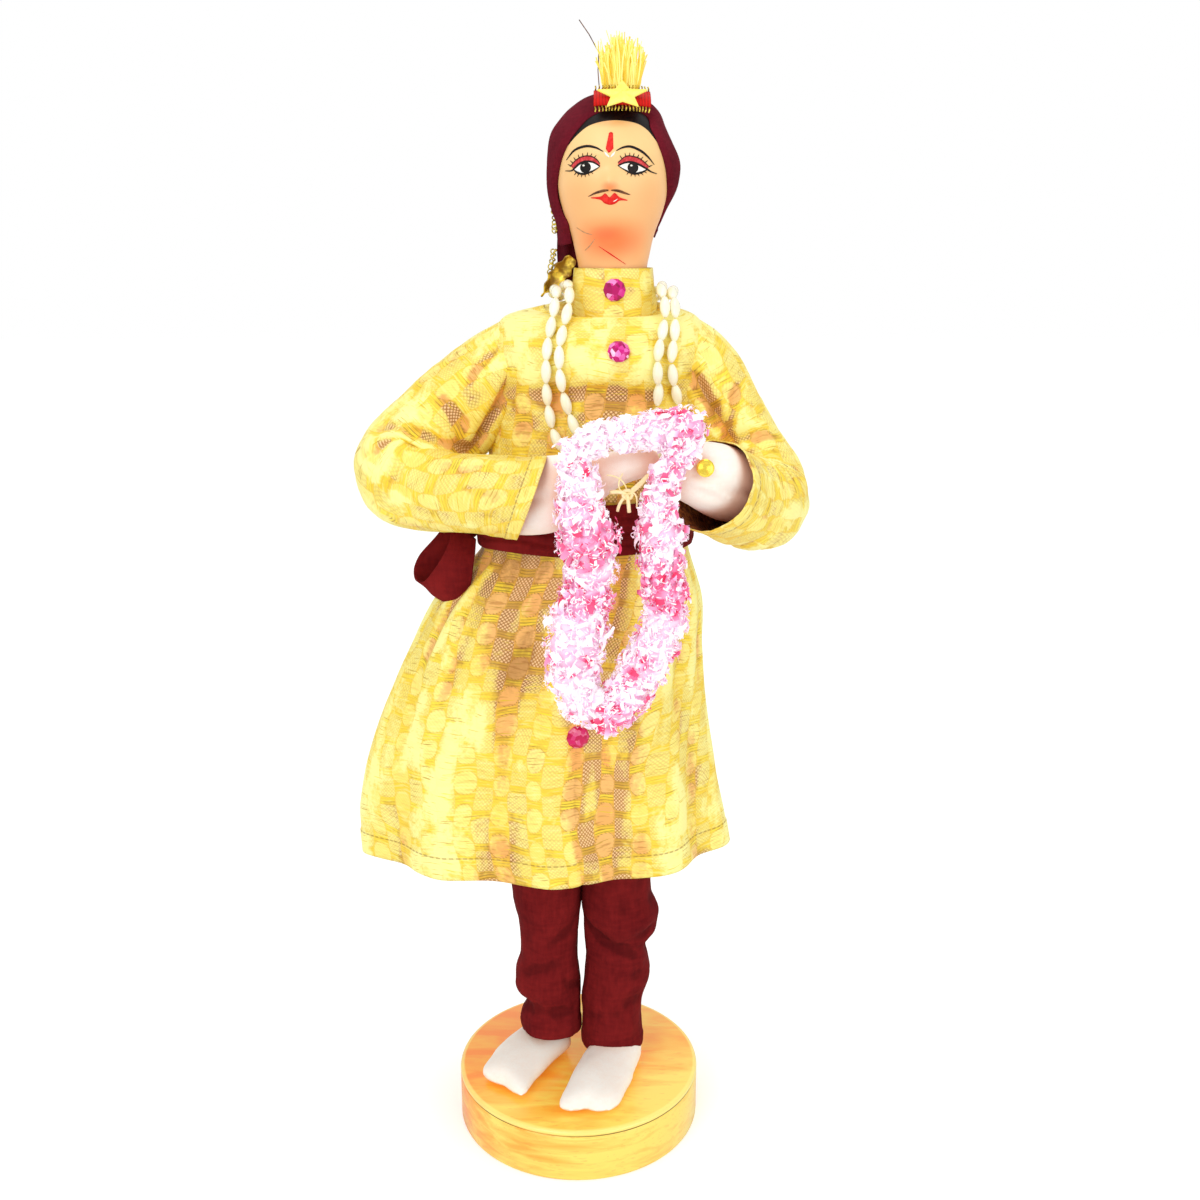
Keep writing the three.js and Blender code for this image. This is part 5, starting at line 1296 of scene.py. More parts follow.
class Painting:
    """Collects the strokes of one colour as thin strips that follow the face."""

    def __init__(self, lift):
        self.points = []
        self.faces = []
        self.lift = lift

    def dab(self, x, z):
        self.points.append(on_face(x, z, self.lift))

    def patch(self, upper, lower, across=14, down=4):
        """Fills the space between two lines, each a list of (x, z) from left to right."""
        tops, bottoms = even_spline(upper), even_spline(lower)
        first = len(self.points)
        for i in range(across + 1):
            top, bottom = tops(i / across), bottoms(i / across)
            for j in range(down + 1):
                self.dab(*[a + (b - a) * j / down for a, b in zip(top, bottom)])
        self.faces.extend(grid_faces(first, across + 1, down + 1, wrap=False))

    def stroke(self, line, widths):
        """One brush stroke along a line, with its widths from the start to the end."""
        at = even_spline(line)
        broad = even_spline([(width,) for width in widths])
        upper, lower = [], []
        steps = max(6, 3 * len(line))
        for k in range(steps + 1):
            t = k / steps
            way = (Vector(at(min(1, t + 0.02))) - Vector(at(max(0, t - 0.02)))).normalized()
            side = Vector((-way[1], way[0])) * 0.5 * broad(t)[0]
            middle = Vector(at(t))
            upper.append(tuple(middle + side))
            lower.append(tuple(middle - side))
        self.patch(upper, lower, across=steps, down=2)

    def disc(self, x, z, wide, tall):
        rings, sides = 4, 24
        first = len(self.points)
        self.dab(x, z)
        for ring in range(1, rings + 1):
            for a in turns(sides):
                self.dab(x + wide * ring / rings * math.cos(a), z + tall * ring / rings * math.sin(a))
        for i in range(sides):
            j = (i + 1) % sides
            self.faces.append((first, first + 1 + i, first + 1 + j))
            for ring in range(rings - 1):
                a = first + 1 + sides * ring
                self.faces.append((a + i, a + sides + i, a + sides + j, a + j))

    def finish(self, name, material):
        piece = mesh_piece(name, self.points, self.faces)
        tidy_normals(piece, 1e-9)
        apply_modifier(piece, "SOLIDIFY", thickness=0.03 * MM, offset=-1)
        settle(piece, material, "figure", "painted_head")


# Black hair painted above a curved hairline, up under the turban.
HAIRLINE = (
    (-4, 276), (-1.8, 279.6), (0.8, 282.4), (4.2, 284.7), (9.4, 285.7), (14.7, 285.3), (17.6, 284.1),
    (19.6, 282.2), (21.8, 279.2), (23.4, 275),
)
hair = Painting(0.06)
crown = [(HEAD_X + 0.72 * (x - HEAD_X), 287.8) for x, z in HAIRLINE]
parting = [(HEAD_X + 0.14 * (x - HEAD_X), 291) for x, z in HAIRLINE]
hair.patch(crown, HAIRLINE, across=60, down=14)
hair.patch(parting, crown, across=60, down=4)
hair.finish("painted_hair", black_paint)

# Eyes: each line is x and z from left to right, the doll's right eye first.
RIGHT_LID = ((-0.8, 275.2), (0.5, 276.4), (2.3, 277.2), (4.2, 277.2), (5.7, 276.4), (6.4, 275.5))
RIGHT_LID_EDGE = ((0.1, 274.2), (1.4, 275.4), (2.9, 275.9), (4.8, 275.7), (6.3, 274.8), (6.5, 274.7))
LEFT_LID = ((11.0, 275.9), (12.8, 277.1), (14.7, 277.1), (16.6, 276.5), (18.7, 274.9))
LEFT_LID_EDGE = ((11.0, 274.9), (12.5, 275.5), (14.1, 275.7), (15.9, 275.2), (18.2, 274.2))
lids = Painting(0.05)
lids.patch(RIGHT_LID, RIGHT_LID_EDGE)
lids.patch(LEFT_LID, LEFT_LID_EDGE)
lids.finish("painted_lids", lid_paint)

whites = Painting(0.07)
whites.patch(
    RIGHT_LID_EDGE[:5],
    ((0.1, 274.1), (1.1, 273.5), (2.6, 273.2), (4.8, 273.8), (6.3, 274.7)),
)
whites.patch(
    ((11.1, 274.9), (12.5, 275.5), (14.1, 275.7), (15.9, 275.2), (18.1, 274.2)),
    ((11.1, 274.8), (12.9, 273.9), (14.7, 273.2), (16.6, 273.5), (18.1, 274.1)),
)
# The parting of the brows is touched with white.
whites.stroke(((7.6, 278.2), (8.1, 277.5), (8.8, 276.9)), (0.1, 0.5, 0.2))
whites.stroke(((10.2, 278.2), (9.7, 277.5), (9.1, 276.9)), (0.1, 0.5, 0.2))
whites.finish("painted_eye_whites", white_paint)

# Irises, lash lines, brows, lashes and the edges of the lids in black. Each stroke is its line and widths.
BLACK_STROKES = (
    (
        ((-2.2, 274.1), (-0.6, 274.0), (0.4, 274.7), (1.4, 275.5), (2.9, 276.0), (4.8, 275.8), (6.5, 274.8)),
        (0.15, 0.4, 0.5, 0.45, 0.3),
    ),
    (
        ((0.1, 274.1), (1.1, 273.4), (2.6, 273.1), (4.8, 273.75), (6.4, 274.7)),
        (0.3, 0.5, 0.5, 0.35, 0.15),
    ),
    (
        (
            (10.9, 274.9), (12.5, 275.6), (14.1, 275.8), (15.9, 275.35), (18.1, 274.3), (19.2, 273.7),
            (20.7, 273.3),
        ),
        (0.3, 0.45, 0.5, 0.4, 0.15),
    ),
    (
        ((11.1, 274.8), (12.9, 273.8), (14.7, 273.1), (16.6, 273.4), (18.1, 274.1)),
        (0.15, 0.35, 0.5, 0.5, 0.3),
    ),
    (
        ((-1.9, 276.6), (0.2, 278.8), (3, 279.6), (5.4, 279.2), (7.3, 278.2)),
        (0.12, 0.5, 0.6, 0.5, 0.2),
    ),
    (
        ((10.5, 278.4), (12.2, 279.2), (14.1, 279.4), (16.5, 278.5), (18.4, 277.1), (20, 275.4)),
        (0.2, 0.5, 0.6, 0.5, 0.12),
    ),
)
# Each lash is its root and its tip. The upper ones come first.
LASHES = (
    ((-0.8, 275.2), (-1.5, 275.6)), ((-0.2, 275.8), (-0.9, 276.4)), ((0.5, 276.4), (0.0, 277.1)),
    ((1.4, 276.9), (1.1, 277.7)), ((2.3, 277.2), (2.2, 278.0)), ((3.3, 277.3), (3.5, 278.1)),
    ((4.2, 277.2), (4.6, 277.9)), ((5.1, 276.8), (5.6, 277.4)), ((11.8, 276.6), (11.4, 277.3)),
    ((12.8, 277.1), (12.6, 277.9)), ((13.8, 277.2), (13.8, 278.0)), ((14.7, 277.1), (14.9, 277.9)),
    ((15.7, 276.9), (16.1, 277.6)), ((16.6, 276.5), (17.1, 277.1)), ((17.6, 275.8), (18.3, 276.3)),
    ((18.7, 274.9), (19.5, 275.3)), ((0.6, 273.5), (0.1, 272.9)), ((1.2, 273.2), (0.9, 272.5)),
    ((2.0, 273.0), (1.9, 272.3)), ((2.8, 273.0), (2.9, 272.3)), ((3.6, 273.2), (3.9, 272.6)),
    ((4.4, 273.5), (4.8, 273.0)), ((13.5, 273.4), (13.1, 272.8)), ((14.3, 273.0), (14.1, 272.4)),
    ((15.1, 273.0), (15.2, 272.3)), ((15.9, 273.1), (16.2, 272.5)), ((16.7, 273.3), (17.2, 272.8)),
    ((17.5, 273.7), (18.1, 273.3)),
)
LID_LINES = (
    ((-0.9, 275.0), (0.5, 276.4), (2.3, 277.2), (4.2, 277.2), (5.7, 276.4), (6.5, 275.4)),
    ((10.9, 275.6), (12.8, 277.1), (14.7, 277.1), (16.6, 276.5), (18.8, 274.8)),
)
lines = Painting(0.1)
lines.disc(2.95, 274.6, 1.35, 1.3)
lines.disc(14.6, 274.5, 1.35, 1.3)
for line, widths in BLACK_STROKES:
    lines.stroke(line, widths)
for lash in LASHES:
    lines.stroke(lash, (0.24, 0.18, 0.08))
for edge in LID_LINES:
    lines.stroke(edge, (0.15, 0.22, 0.22, 0.15))
lines.finish("painted_lines", black_paint)

# Painted highlights in white: a glint in each eye and one on the lower lip.
glints = Painting(0.14)
glints.disc(2.5, 275.1, 0.28, 0.22)
glints.disc(14.2, 275.0, 0.28, 0.22)
glints.stroke(((9.8, 266.5), (10.3, 266.7), (10.8, 267.1)), (0.08, 0.22, 0.08))
glints.finish("painted_glints", white_paint)

# A thin moustache brushed in half-dry paint.
moustache = Painting(0.09)
moustache.stroke(((3.6, 267.7), (5.4, 268.5), (7.3, 269.0), (8.6, 269.1)), (0.12, 0.5, 0.6, 0.25))
moustache.stroke(((9.3, 269.1), (11, 269.0), (12.6, 268.5), (14, 268.1)), (0.25, 0.6, 0.5, 0.12))
moustache.finish("painted_moustache", brown_paint)

# The tilak, the lips and one stray stroke on the neck.
TILAK = (((8.7, 282.6), (9.2, 282.85), (9.7, 282.6)), ((7.9, 278.9), (8.7, 277.9), (9.8, 278.9)))
LIPS = (
    ((4.3, 267.5), (6.7, 267.7), (7.8, 268.4), (8.9, 267.5), (10.1, 268.5), (11.4, 267.5), (13.3, 266.9)),
    ((4.3, 267.3), (6.6, 266.9), (7.6, 266.1), (9.0, 265.7), (10.3, 266.0), (11.4, 266.7), (13.3, 266.7)),
)
reds = Painting(0.08)
reds.patch(*TILAK, across=8, down=10)
reds.patch(*LIPS, across=36)
reds.stroke(((6.2, 255.8), (9.6, 253.6), (13, 251.4)), (0.1, 0.3, 0.1))
reds.finish("painted_reds", red_paint)

scratches = Painting(0.05)
scratches.stroke(((5.2, 257.6), (4.0, 256.0), (2.7, 254.8)), (0.1, 0.25, 0.1))
scratches.stroke(((0.6, 260.4), (2.6, 259.2), (4.6, 258.6)), (0.1, 0.2, 0.1))
scratches.finish("scratches", grey_paint)


# Turban

# A strip of plum cotton wound over the head as a close hood, crossed above the forehead and gathered at the
# nape. It is stretched smooth over the crown, with a fuller fold over the doll's left ear.
# Each row is a share round the face from the right jaw over the crown to the left one, then x and z of the
# edge by the face, and x and z of the hood's outline.
HOOD = spline(
    (
        (0.00, -0.6, 256.6, -4.4, 256.8), (0.10, -1.4, 261.2, -5.0, 261.2), (0.20, -3.3, 265.3, -6.0, 266.0),
        (0.29, -4.2, 269.9, -6.9, 272.5), (0.37, -3.2, 276.2, -7.1, 279.6), (0.43, -0.9, 281.1, -6.2, 284.1),
        (0.47, 1.6, 284.3, -4.0, 287.2), (0.51, 4.1, 286.7, -1.0, 290.2), (0.56, 8.0, 288.3, 4.1, 293.2),
        (0.60, 12.0, 288.8, 11.0, 294.3), (0.64, 15.5, 288.5, 17.5, 292.8), (0.68, 18.1, 287.0, 21.7, 289.8),
        (0.73, 18.9, 284.3, 23.6, 285.9), (0.79, 20.6, 281.1, 25.4, 281.5), (0.86, 22.9, 275.0, 27.1, 276.5),
        (0.91, 23.4, 269.6, 26.0, 271.5), (0.955, 22.6, 265.3, 23.5, 265.6), (0.98, 21.7, 261.6, 22.0, 261.6),
        (1.00, 20.4, 258.4, 20.2, 258.2),
    )
)
NAPE = Vector((10, 11.5, 255))
HEAD_MIDDLE_Z = 272
SIDE_Y = 3
OUTLINE_SHARE = 0.35  # how much of the cloth lies between the face and the hood's outline


def hood_point(u, v):
    x, z, far_x, far_z = HOOD(u)
    wide = HEAD(z)[0]
    near = HEAD_X + max(-0.985 * wide, min(0.985 * wide, x - HEAD_X))
    # The cloth lies off the head, but is drawn close to it at the left jaw, where it ends.
    off = 1 - smooth(u, 0.9, 1)
    edge = on_face(near, z, 0.3 + 0.9 * off * smooth(v, 0, 0.05))
    edge.x += x - near
    # Below the ears the edge runs back towards the nape.
    edge.y += 5 * smooth(u, 0.88, 1) + 1.2 * (1 - smooth(u, 0, 0.1))
    side = Vector((far_x, SIDE_Y, far_z))
    if v < OUTLINE_SHARE:
        w = v / OUTLINE_SHARE
        point = edge.lerp(side, w)
        out = Vector((point.x - HEAD_X, 0.4 * point.y, point.z - HEAD_MIDDLE_Z)).normalized()
        point += out * 0.9 * off * math.sin(math.pi * w)
    else:
        w = (v - OUTLINE_SHARE) / (1 - OUTLINE_SHARE)
        point = side.lerp(NAPE, w)
    wide, deep = HEAD(min(point.z, 291.2))
    reach = math.hypot((point.x - HEAD_X) / wide, point.y / deep)
    # Behind its outline the cloth is pushed out round the head.
    if v > OUTLINE_SHARE and reach > 1e-6:
        goal = 1 + (0.2 + 1.5 * off) / wide
        push = ((reach**8 + goal**8) ** 0.125) / reach
        over_crown = smooth(u, 0.4, 0.48) * (1 - smooth(u, 0.7, 0.78))
        push = 1 + (push - 1) * smooth(v, OUTLINE_SHARE, 0.5 - 0.12 * over_crown)
        point.x = HEAD_X + (point.x - HEAD_X) * push
        point.y *= push
    # Pleats fan out from the nape, and one fold runs along beside the face.
    out = Vector((point.x - HEAD_X, point.y, point.z - HEAD_MIDDLE_Z)).normalized()
    pleat = 0.3 * math.sin(44 * u + 5 * noise.noise(Vector((3 * u, 2 * v, 4))))
    pleat *= smooth(v, 0.45, 0.9) * (1 - smooth(v, 0.93, 1))
    roll = 0.6 * noise.noise(Vector((5 * u, 4 * v, 2))) * smooth(v, 0.05, 0.3) * (1 - smooth(v, 0.85, 1))
    fold = crease(v - 0.2 - 0.05 * math.sin(3 * u), 0.5, 0.025)
    fold *= smooth(u, 0.08, 0.2) * (1 - smooth(u, 0.42, 0.5))
    return point + out * (pleat + roll + fold)


plum = cotton("plum turban cotton", "#721a28", "#56101d", 1900, 0.16)
hood = cloth("turban_cloth", 110, 80, hood_point, closed=False, thick=0.45)
tidy_normals(hood, 1e-9)
settle(hood, plum, "figure", "turban_cotton", "turban")

# The strip's end comes out under the fold at the right ear and hangs to the collar, free to swing.
TAIL_X, TAIL_Y, TAIL_Z = -1.9, 4.2, 258.6
TAIL_LENGTH = 11.8


def tail_point(u, v):
    drop = 1 - v
    x = TAIL_X - 0.6 * drop + 5.2 * (u - 0.5)
    y = TAIL_Y - 2.4 * (u - 0.5) + (0.5 + 0.6 * drop) * math.sin(9 * u + 2 * drop)
    return (x, y, TAIL_Z - TAIL_LENGTH * drop + 0.5 * math.sin(5 * u))


# The tail gets an even painted shade for the shadow it hangs in.
tail = cloth("turban_tail_cloth", 30, 30, tail_point, closed=False, thick=0.6, painted_shade=0.5)
settle(tail, plum, "turban_tail_end", "turban_cotton", "turban_tail")

# Gold lace is stitched down the right edge: a metal-wrapped cord crocheted into loops with small picots.
lace_gold = speckled(
    "gold lace thread", 1600, 2, "#8f7420", "#f6e15a", band=(0.35, 0.65), Metallic=0.55, Roughness=0.35
)
LACE_PITCH = 1.25
LACE_STEPS = 8  # points on the cord from one loop to the next
TURBAN_LACE = (
    (-5.6, 0.6, 277.8), (-6.0, 1.0, 273.1), (-5.8, 1.2, 270), (-5.3, 1.4, 266.8), (-4.9, 1.6, 262.4),
    (-4.8, 2.0, 259.4),
)
TAIL_LACE = ((-5.2, 2.2, 255.2), (-5.5, 2.2, 253.2), (-5.9, 2.2, 251), (-6.2, 2.2, 248.6))


def lace(name, line, body, node):
    """Lace along a line: a wavy cord and a row of loops outside it."""
    at = even_spline(line)
    points, faces = [], []
    length = sum((Vector(a) - Vector(b)).length for a, b in zip(line, line[1:]))
    count = round(length / LACE_PITCH)
    steps = count * LACE_STEPS
    wave = []
    for k in range(steps + 1):
        a = TURN * k / LACE_STEPS
        wave.append(Vector(at(k / steps)) + Vector((0.35 * math.sin(a), 0.3 * math.cos(a), 0)))
    rope(points, faces, wave, 0.2, 5)
    for k in range(count):
        middle = Vector(at((k + 0.5) / count))
        size = 0.55 + 0.12 * math.sin(5 * k)
        ring = []
        for a in turns(10) + [TURN]:
            away = (-0.55 + size * math.cos(a), -0.3 + 0.3 * math.sin(2 * a + k), size * 1.1 * math.sin(a))
            ring.append(middle + Vector(away))
        rope(points, faces, ring, 0.17, 5)
    settle(mesh_piece(name, points, faces), lace_gold, body, "gold_lace", node)


lace("turban_lace_loops", TURBAN_LACE, "figure", "turban_lace")
lace("tail_lace_loops", TAIL_LACE, "turban_tail_end", "tail_lace")

# A leaf of pressed gold foil, tarnished but for its edge, hangs over the end of the tail.
old_gold = speckled(
    "tarnished gold foil", 420, 3, "#8a6414", "#f0cf4a", band=(0.4, 0.66), Metallic=0.5, Roughness=0.35
)
LEAF_STALK, LEAF_TIP = Vector((-0.6, -0.4, 253.0)), Vector((-8.9, 0.2, 243.2))
LEAF_ACROSS = Vector((0.62, 0.1, -0.5))


def leaf_point(u, v):
    aside = 2 * u - 1
    spread = 2.9 * math.sin(math.pi * min(1, 0.12 + 0.95 * v)) ** 0.7
    spread *= 1 + 0.14 * math.sin(26 * v) * abs(aside)
    dish = 0.9 * aside**2 + 0.35 * math.sin(14 * v) * aside
    return LEAF_STALK.lerp(LEAF_TIP, v) + LEAF_ACROSS * spread * aside + Vector((0, 0.8 - dish, 0))


leaf = cloth("tail_leaf_foil", 20, 40, leaf_point, closed=False, thick=0.3)
settle(leaf, old_gold, "turban_tail_end", "gold_lace", "tail_leaf")


# Plume

# A scrap of red ribbon with gold picots is glued across the front of the turban, and on that a pressed gold
# star. Behind the star stands a tuft of gold tinsel.
ribbon = Look("red ribbon", Roughness=0.6, Specular_IOR_Level=0.15)
ribs = {"Vector": ribbon.here, "Scale": 420, "Distortion": 1.5, "Detail": 1}
ribs = ribbon.node("TexWave", ribs, bands_direction="X").outputs[1]
ribbon.set(Base_Color=ribbon.mix(ribbon.times(ribs, 0.6), "#d81a10", "#8c0d0a"))
ribbon.bump(ribs, 0.3, 0.0002)

RIBBON_X, RIBBON_Y, RIBBON_Z = 4.9, -11.9, 289.2
RIBBON_LONG, RIBBON_TALL = 14.2, 4.6
RIBBON_MIDDLE, RIBBON_BEND = 11, 15


def band_point(u, v):
    x = RIBBON_X + RIBBON_LONG * u
    z = RIBBON_Z + RIBBON_TALL * v
    share = min(0.98, abs((x - RIBBON_MIDDLE) / RIBBON_BEND))
    y = RIBBON_Y + 5.0 * share**2 + 7.6 * v**1.4 - 2.3 * math.sin(math.pi * v) * (1 - share**2)
    return (x, y, z - 1.6 * share**2)


band = cloth("plume_ribbon", 50, 16, band_point, closed=False, thick=0.4)
settle(band, ribbon.material, "figure", "red_ribbon", "plume_band")

# Picots along both edges of the ribbon.
PICOTS = 17
points, faces = [], []
for k in range(PICOTS):
    for v, down in ((0.0, -1), (1.0, 0.8)):
        root = Vector(band_point((k + 0.5) / PICOTS, v))
        tip = root + Vector((0.25 * math.sin(7 * k), -0.3, 1.3 * down))
        rope(points, faces, [root, root.lerp(tip, 0.5) + Vector((0.12, -0.1, 0)), tip], 0.2, 5)
settle(mesh_piece("ribbon_picots", points, faces), lace_gold, "figure", "gold_lace")

# Gold-printed card with a dull shine.
gold_card = speckled("gold card", 500, 3, "#fbe23a", "#fff68a", Metallic=0.15, Roughness=0.45)
STAR_OUTER = 6.6
STAR_INNER = 3.0
STAR_CORNERS = 10
STAR_CENTRE = Vector((12.0, -12.1, 291.4))
STAR_UP = Vector((0, 0.8, 0.6))
STAR_OUT = Vector((0, -0.6, 0.8))
points, faces = [], []
for lift in (0.0, 0.45):
    for k in range(STAR_CORNERS):
        radius = STAR_OUTER if k % 2 == 0 else STAR_INNER
        angle = 0.25 * TURN + TURN * k / STAR_CORNERS
        corner = Vector((radius * math.cos(angle), 0, 0)) + STAR_UP * radius * math.sin(angle)
        points.append(STAR_CENTRE + corner + STAR_OUT * lift)
points.append(STAR_CENTRE + STAR_OUT * 1.1)
points.append(STAR_CENTRE)
for k in range(STAR_CORNERS):
    j = (k + 1) % STAR_CORNERS
    front, back = 2 * STAR_CORNERS, 2 * STAR_CORNERS + 1
    faces.append((k, j, STAR_CORNERS + j, STAR_CORNERS + k))
    faces.append((STAR_CORNERS + k, STAR_CORNERS + j, front))
    faces.append((j, k, back))
star = mesh_piece("pressed_star", points, faces)
tidy_normals(star)
apply_modifier(star, "BEVEL", width=0.12 * MM, segments=2, limit_method="ANGLE")
settle(star, gold_card, "figure", "gold_card", "plume_star", angle=12)

# Gold tinsel: flat metallised strips, each with its own painted glint from dark to pale gold.
# The strips also glow a little of their own, a painted brightening.
tinsel = Look("gold tinsel", Roughness=0.4, Emission_Strength=0.18)
glow = tinsel.mix(tinsel.attribute("Glint"), "#e6c31c", "#fffa96")
tinsel.set(Base_Color=glow, Emission_Color=glow)
TUFT_X, TUFT_Y, TUFT_Z = 7.9, -3.0, 291.6
TUFT_WIDE = 7.8
ROW_GAP = 1.1
STRIPS_PER_ROW = 90
STRIP_ROWS = 2
STRIP_PLACES = (0, 0.35, 0.7, 1)
STRIP_THICK = Vector((0, 0.1, 0))

chance = random.Random(5)
points, faces, glows = [], [], []
for k in range(STRIP_ROWS * STRIPS_PER_ROW):
    row, number = divmod(k, STRIPS_PER_ROW)
    share = (number + 0.5) / STRIPS_PER_ROW
    arch = math.sin(math.pi * share)
    x = TUFT_X + TUFT_WIDE * share + chance.uniform(-0.2, 0.2)
    root = Vector((x, TUFT_Y + ROW_GAP * row, TUFT_Z + 1.4 * arch))
    wisp = chance.random() < 0.22
    lean = 3.4 * (share - 0.5) + chance.uniform(-1.2, 1.2) * (2.4 if wisp else 1)
    tall = 10.8 + 2.4 * arch + chance.uniform(-3.4, 1.0) + (1.0 if wisp else 0)
    tip = root + Vector((lean, chance.uniform(-1.4, 0.4), tall))
    half = Vector((0.09 if wisp else 0.17, 0.1 * chance.uniform(-1, 1), 0))
    curl = Vector((chance.uniform(-0.9, 0.9), chance.uniform(-0.4, 0.4), 0))
    first = len(points)
    for t in STRIP_PLACES:
        p = root.lerp(tip, t) + curl * math.sin(math.pi * t)
        points.extend((p - half, p + half, p + half + STRIP_THICK, p - half + STRIP_THICK))
    faces.extend(grid_faces(first, len(STRIP_PLACES), 4))
    faces.append((first + 3, first + 2, first + 1, first))
    faces.append(tuple(range(len(points) - 4, len(points))))
    glows.extend([chance.random()] * (len(points) - first))
tuft = mesh_piece("tinsel_tuft", points, faces)
point_values(tuft, "Glint", glows)
settle(tuft, tinsel.material, "figure", "gold_tinsel", "plume_tuft", angle=30)

# One dark bristle sticks out of the tuft.
BRISTLE = (
    (6.4, -2.6, 293.4), (6.0, -2.8, 298.2), (6.2, -2.4, 302.6), (3.8, -2.2, 306.8), (1.3, -2.2, 310.2),
)
points, faces = [], []
rope(points, faces, BRISTLE, 0.13, 5)
settle(mesh_piece("stray_bristle", points, faces), brown_paint, "figure", "gold_tinsel")


# Glass gems

# Three pressed glass buttons, ruby pink with cut facets and foil backs, glued down the front of the tunic.
ruby = Look("ruby glass", Roughness=0.15, Specular_IOR_Level=0.3, Coat_Weight=0.15, Coat_Roughness=0.03)
# The facets' colours are painted light: random cells from dark crimson to near-white pink stand for the light
# each facet catches.
depth = ruby.node("TexVoronoi", {"Vector": ruby.here, "Scale": 800}, feature="F1").outputs["Color"]
RUBY_STOPS = ((0.0, "#8a0440"), (0.3, "#c00a6a"), (0.6, "#d81a8a"), (0.8, "#f274c4"), (1.0, "#ffd0ee"))
glass = ruby.ramp(ruby.parts(depth)[0], *RUBY_STOPS)
# The lowest gem is of a larger and redder batch.
lowest = ruby.calc("LESS_THAN", ruby.parts(ruby.here)[2], 0.2)
ruby.set(Base_Color=ruby.mix(ruby.times(lowest, 0.72), glass, "#cc0b4a"))

GEM_OUTLINE = ((0, 1.5), (1.3, 1.45), (2.0, 1.15), (2.75, 0.55), (2.9, 0.2), (2.9, -0.3), (0, -0.3))
GEM_LIFT = 0.35
# Each gem is its name, the cloth under it, its x and z, its size and its solid.
GEMS = (
    ("collar_gem_glass", collar_point, 10.2, 245.0, 1, "collar_gem"),
    ("chest_gem_glass", bodice_point, 11.2, 230.0, 1, "chest_gem"),
    ("skirt_gem_glass", skirt_point, 0.5, 130.2, 1.1, "skirt_gem"),
)


def seat(place, x, z):
    """The point of a draped piece in front of (x, z), and the way its cloth faces there."""
    best, width = (0.5, 0.5), 0.5
    side = range(-8, 9)
    aside = 0.02
    for step in range(7):
        tries = [(best[0] + width * i / 8, best[1] + width * j / 8) for i in side for j in side]
        tries = [(u, v) for u, v in tries if 0.3 < u < 0.7 and 0 <= v <= 1]
        best = min(tries, key=lambda s: math.hypot(place(*s)[0] - x, place(*s)[2] - z))
        width /= 4
    u, v = best
    along = Vector(place(u + aside, v)) - Vector(place(u - aside, v))
    up = Vector(place(u, min(1, v + aside))) - Vector(place(u, v - aside))
    out = along.cross(up).normalized()
    return Vector(place(u, v)), out if out.y < 0 else -out


for name, place, x, z, size, node in GEMS:
    gem = turned(name, [(size * r, size * h) for r, h in GEM_OUTLINE], 10)
    point, out = seat(place, x, z)
    facing = out.to_track_quat("Z", "Y").to_matrix().to_4x4()
    gem.data.transform(Matrix.Translation((point + out * GEM_LIFT) * MM) @ facing)
    settle(gem, ruby.material, "figure", "ruby_gem", node, angle=8)


# Bead necklace

# Two strings of long cream plastic beads, one inside the other, that hang from the neck onto the chest.
pearl = speckled(
    "cream bead plastic", 160, 2, "#fff3c4", "#fffdf0", Roughness=0.18, Coat_Weight=0.6, Subsurface_Weight=0.1
)
BEAD_OUTLINE = (
    (0, -2.95), (0.45, -2.9), (0.85, -2.3), (1.25, -1.2), (1.38, 0), (1.25, 1.2), (0.85, 2.3), (0.45, 2.9),
    (0, 2.95),
)
BEAD_PITCH = 5.95
STRING_STEPS = 400
bead = turned("bead", BEAD_OUTLINE, 14)


def chest_y(x, z):
    """How far forward the tunic's front is at (x, z)."""
    shares = [k / 200 for k in range(201)]
    share = min(shares, key=lambda s: abs(BODICE(s)[0] - z))
    middle, wide, deep = BODICE(share)[1:4]
    return -deep * math.sqrt(max(0.0, 1 - ((x - middle) / wide) ** 2))


def string(name, right, back, left, bottom, node):
    """One string: up the doll's right side, round behind the neck, down its left and across the chest."""
    line = [(x, chest_y(x, z) - 1.7, z) for x, z in right]
    line += back
    line += [(x, chest_y(x, z) - 1.7, z) for x, z in left]
    line += [(x, chest_y(x, z) - 1.9, z) for x, z in bottom]
    line.append(line[0])
    frames = path_frames(line, STRING_STEPS, (0, 1, 0.2))
    length = sum((a[0] - b[0]).length for a, b in zip(frames, frames[1:]))
    count = round(length / BEAD_PITCH)
    points, faces = [], []
    for k in range(count):
        point, ahead, across, other = frames[round(STRING_STEPS * (k + 0.5) / count)]
        first = len(points)
        for vertex in bead.data.vertices:
            p = vertex.co / MM
            points.append(point + across * p.x + other * p.y + ahead * p.z)
        for face in bead.data.polygons:
            faces.append(tuple(first + i for i in face.vertices))
    settle(mesh_piece(name, points, faces), pearl, "figure", "pearl_bead", node)


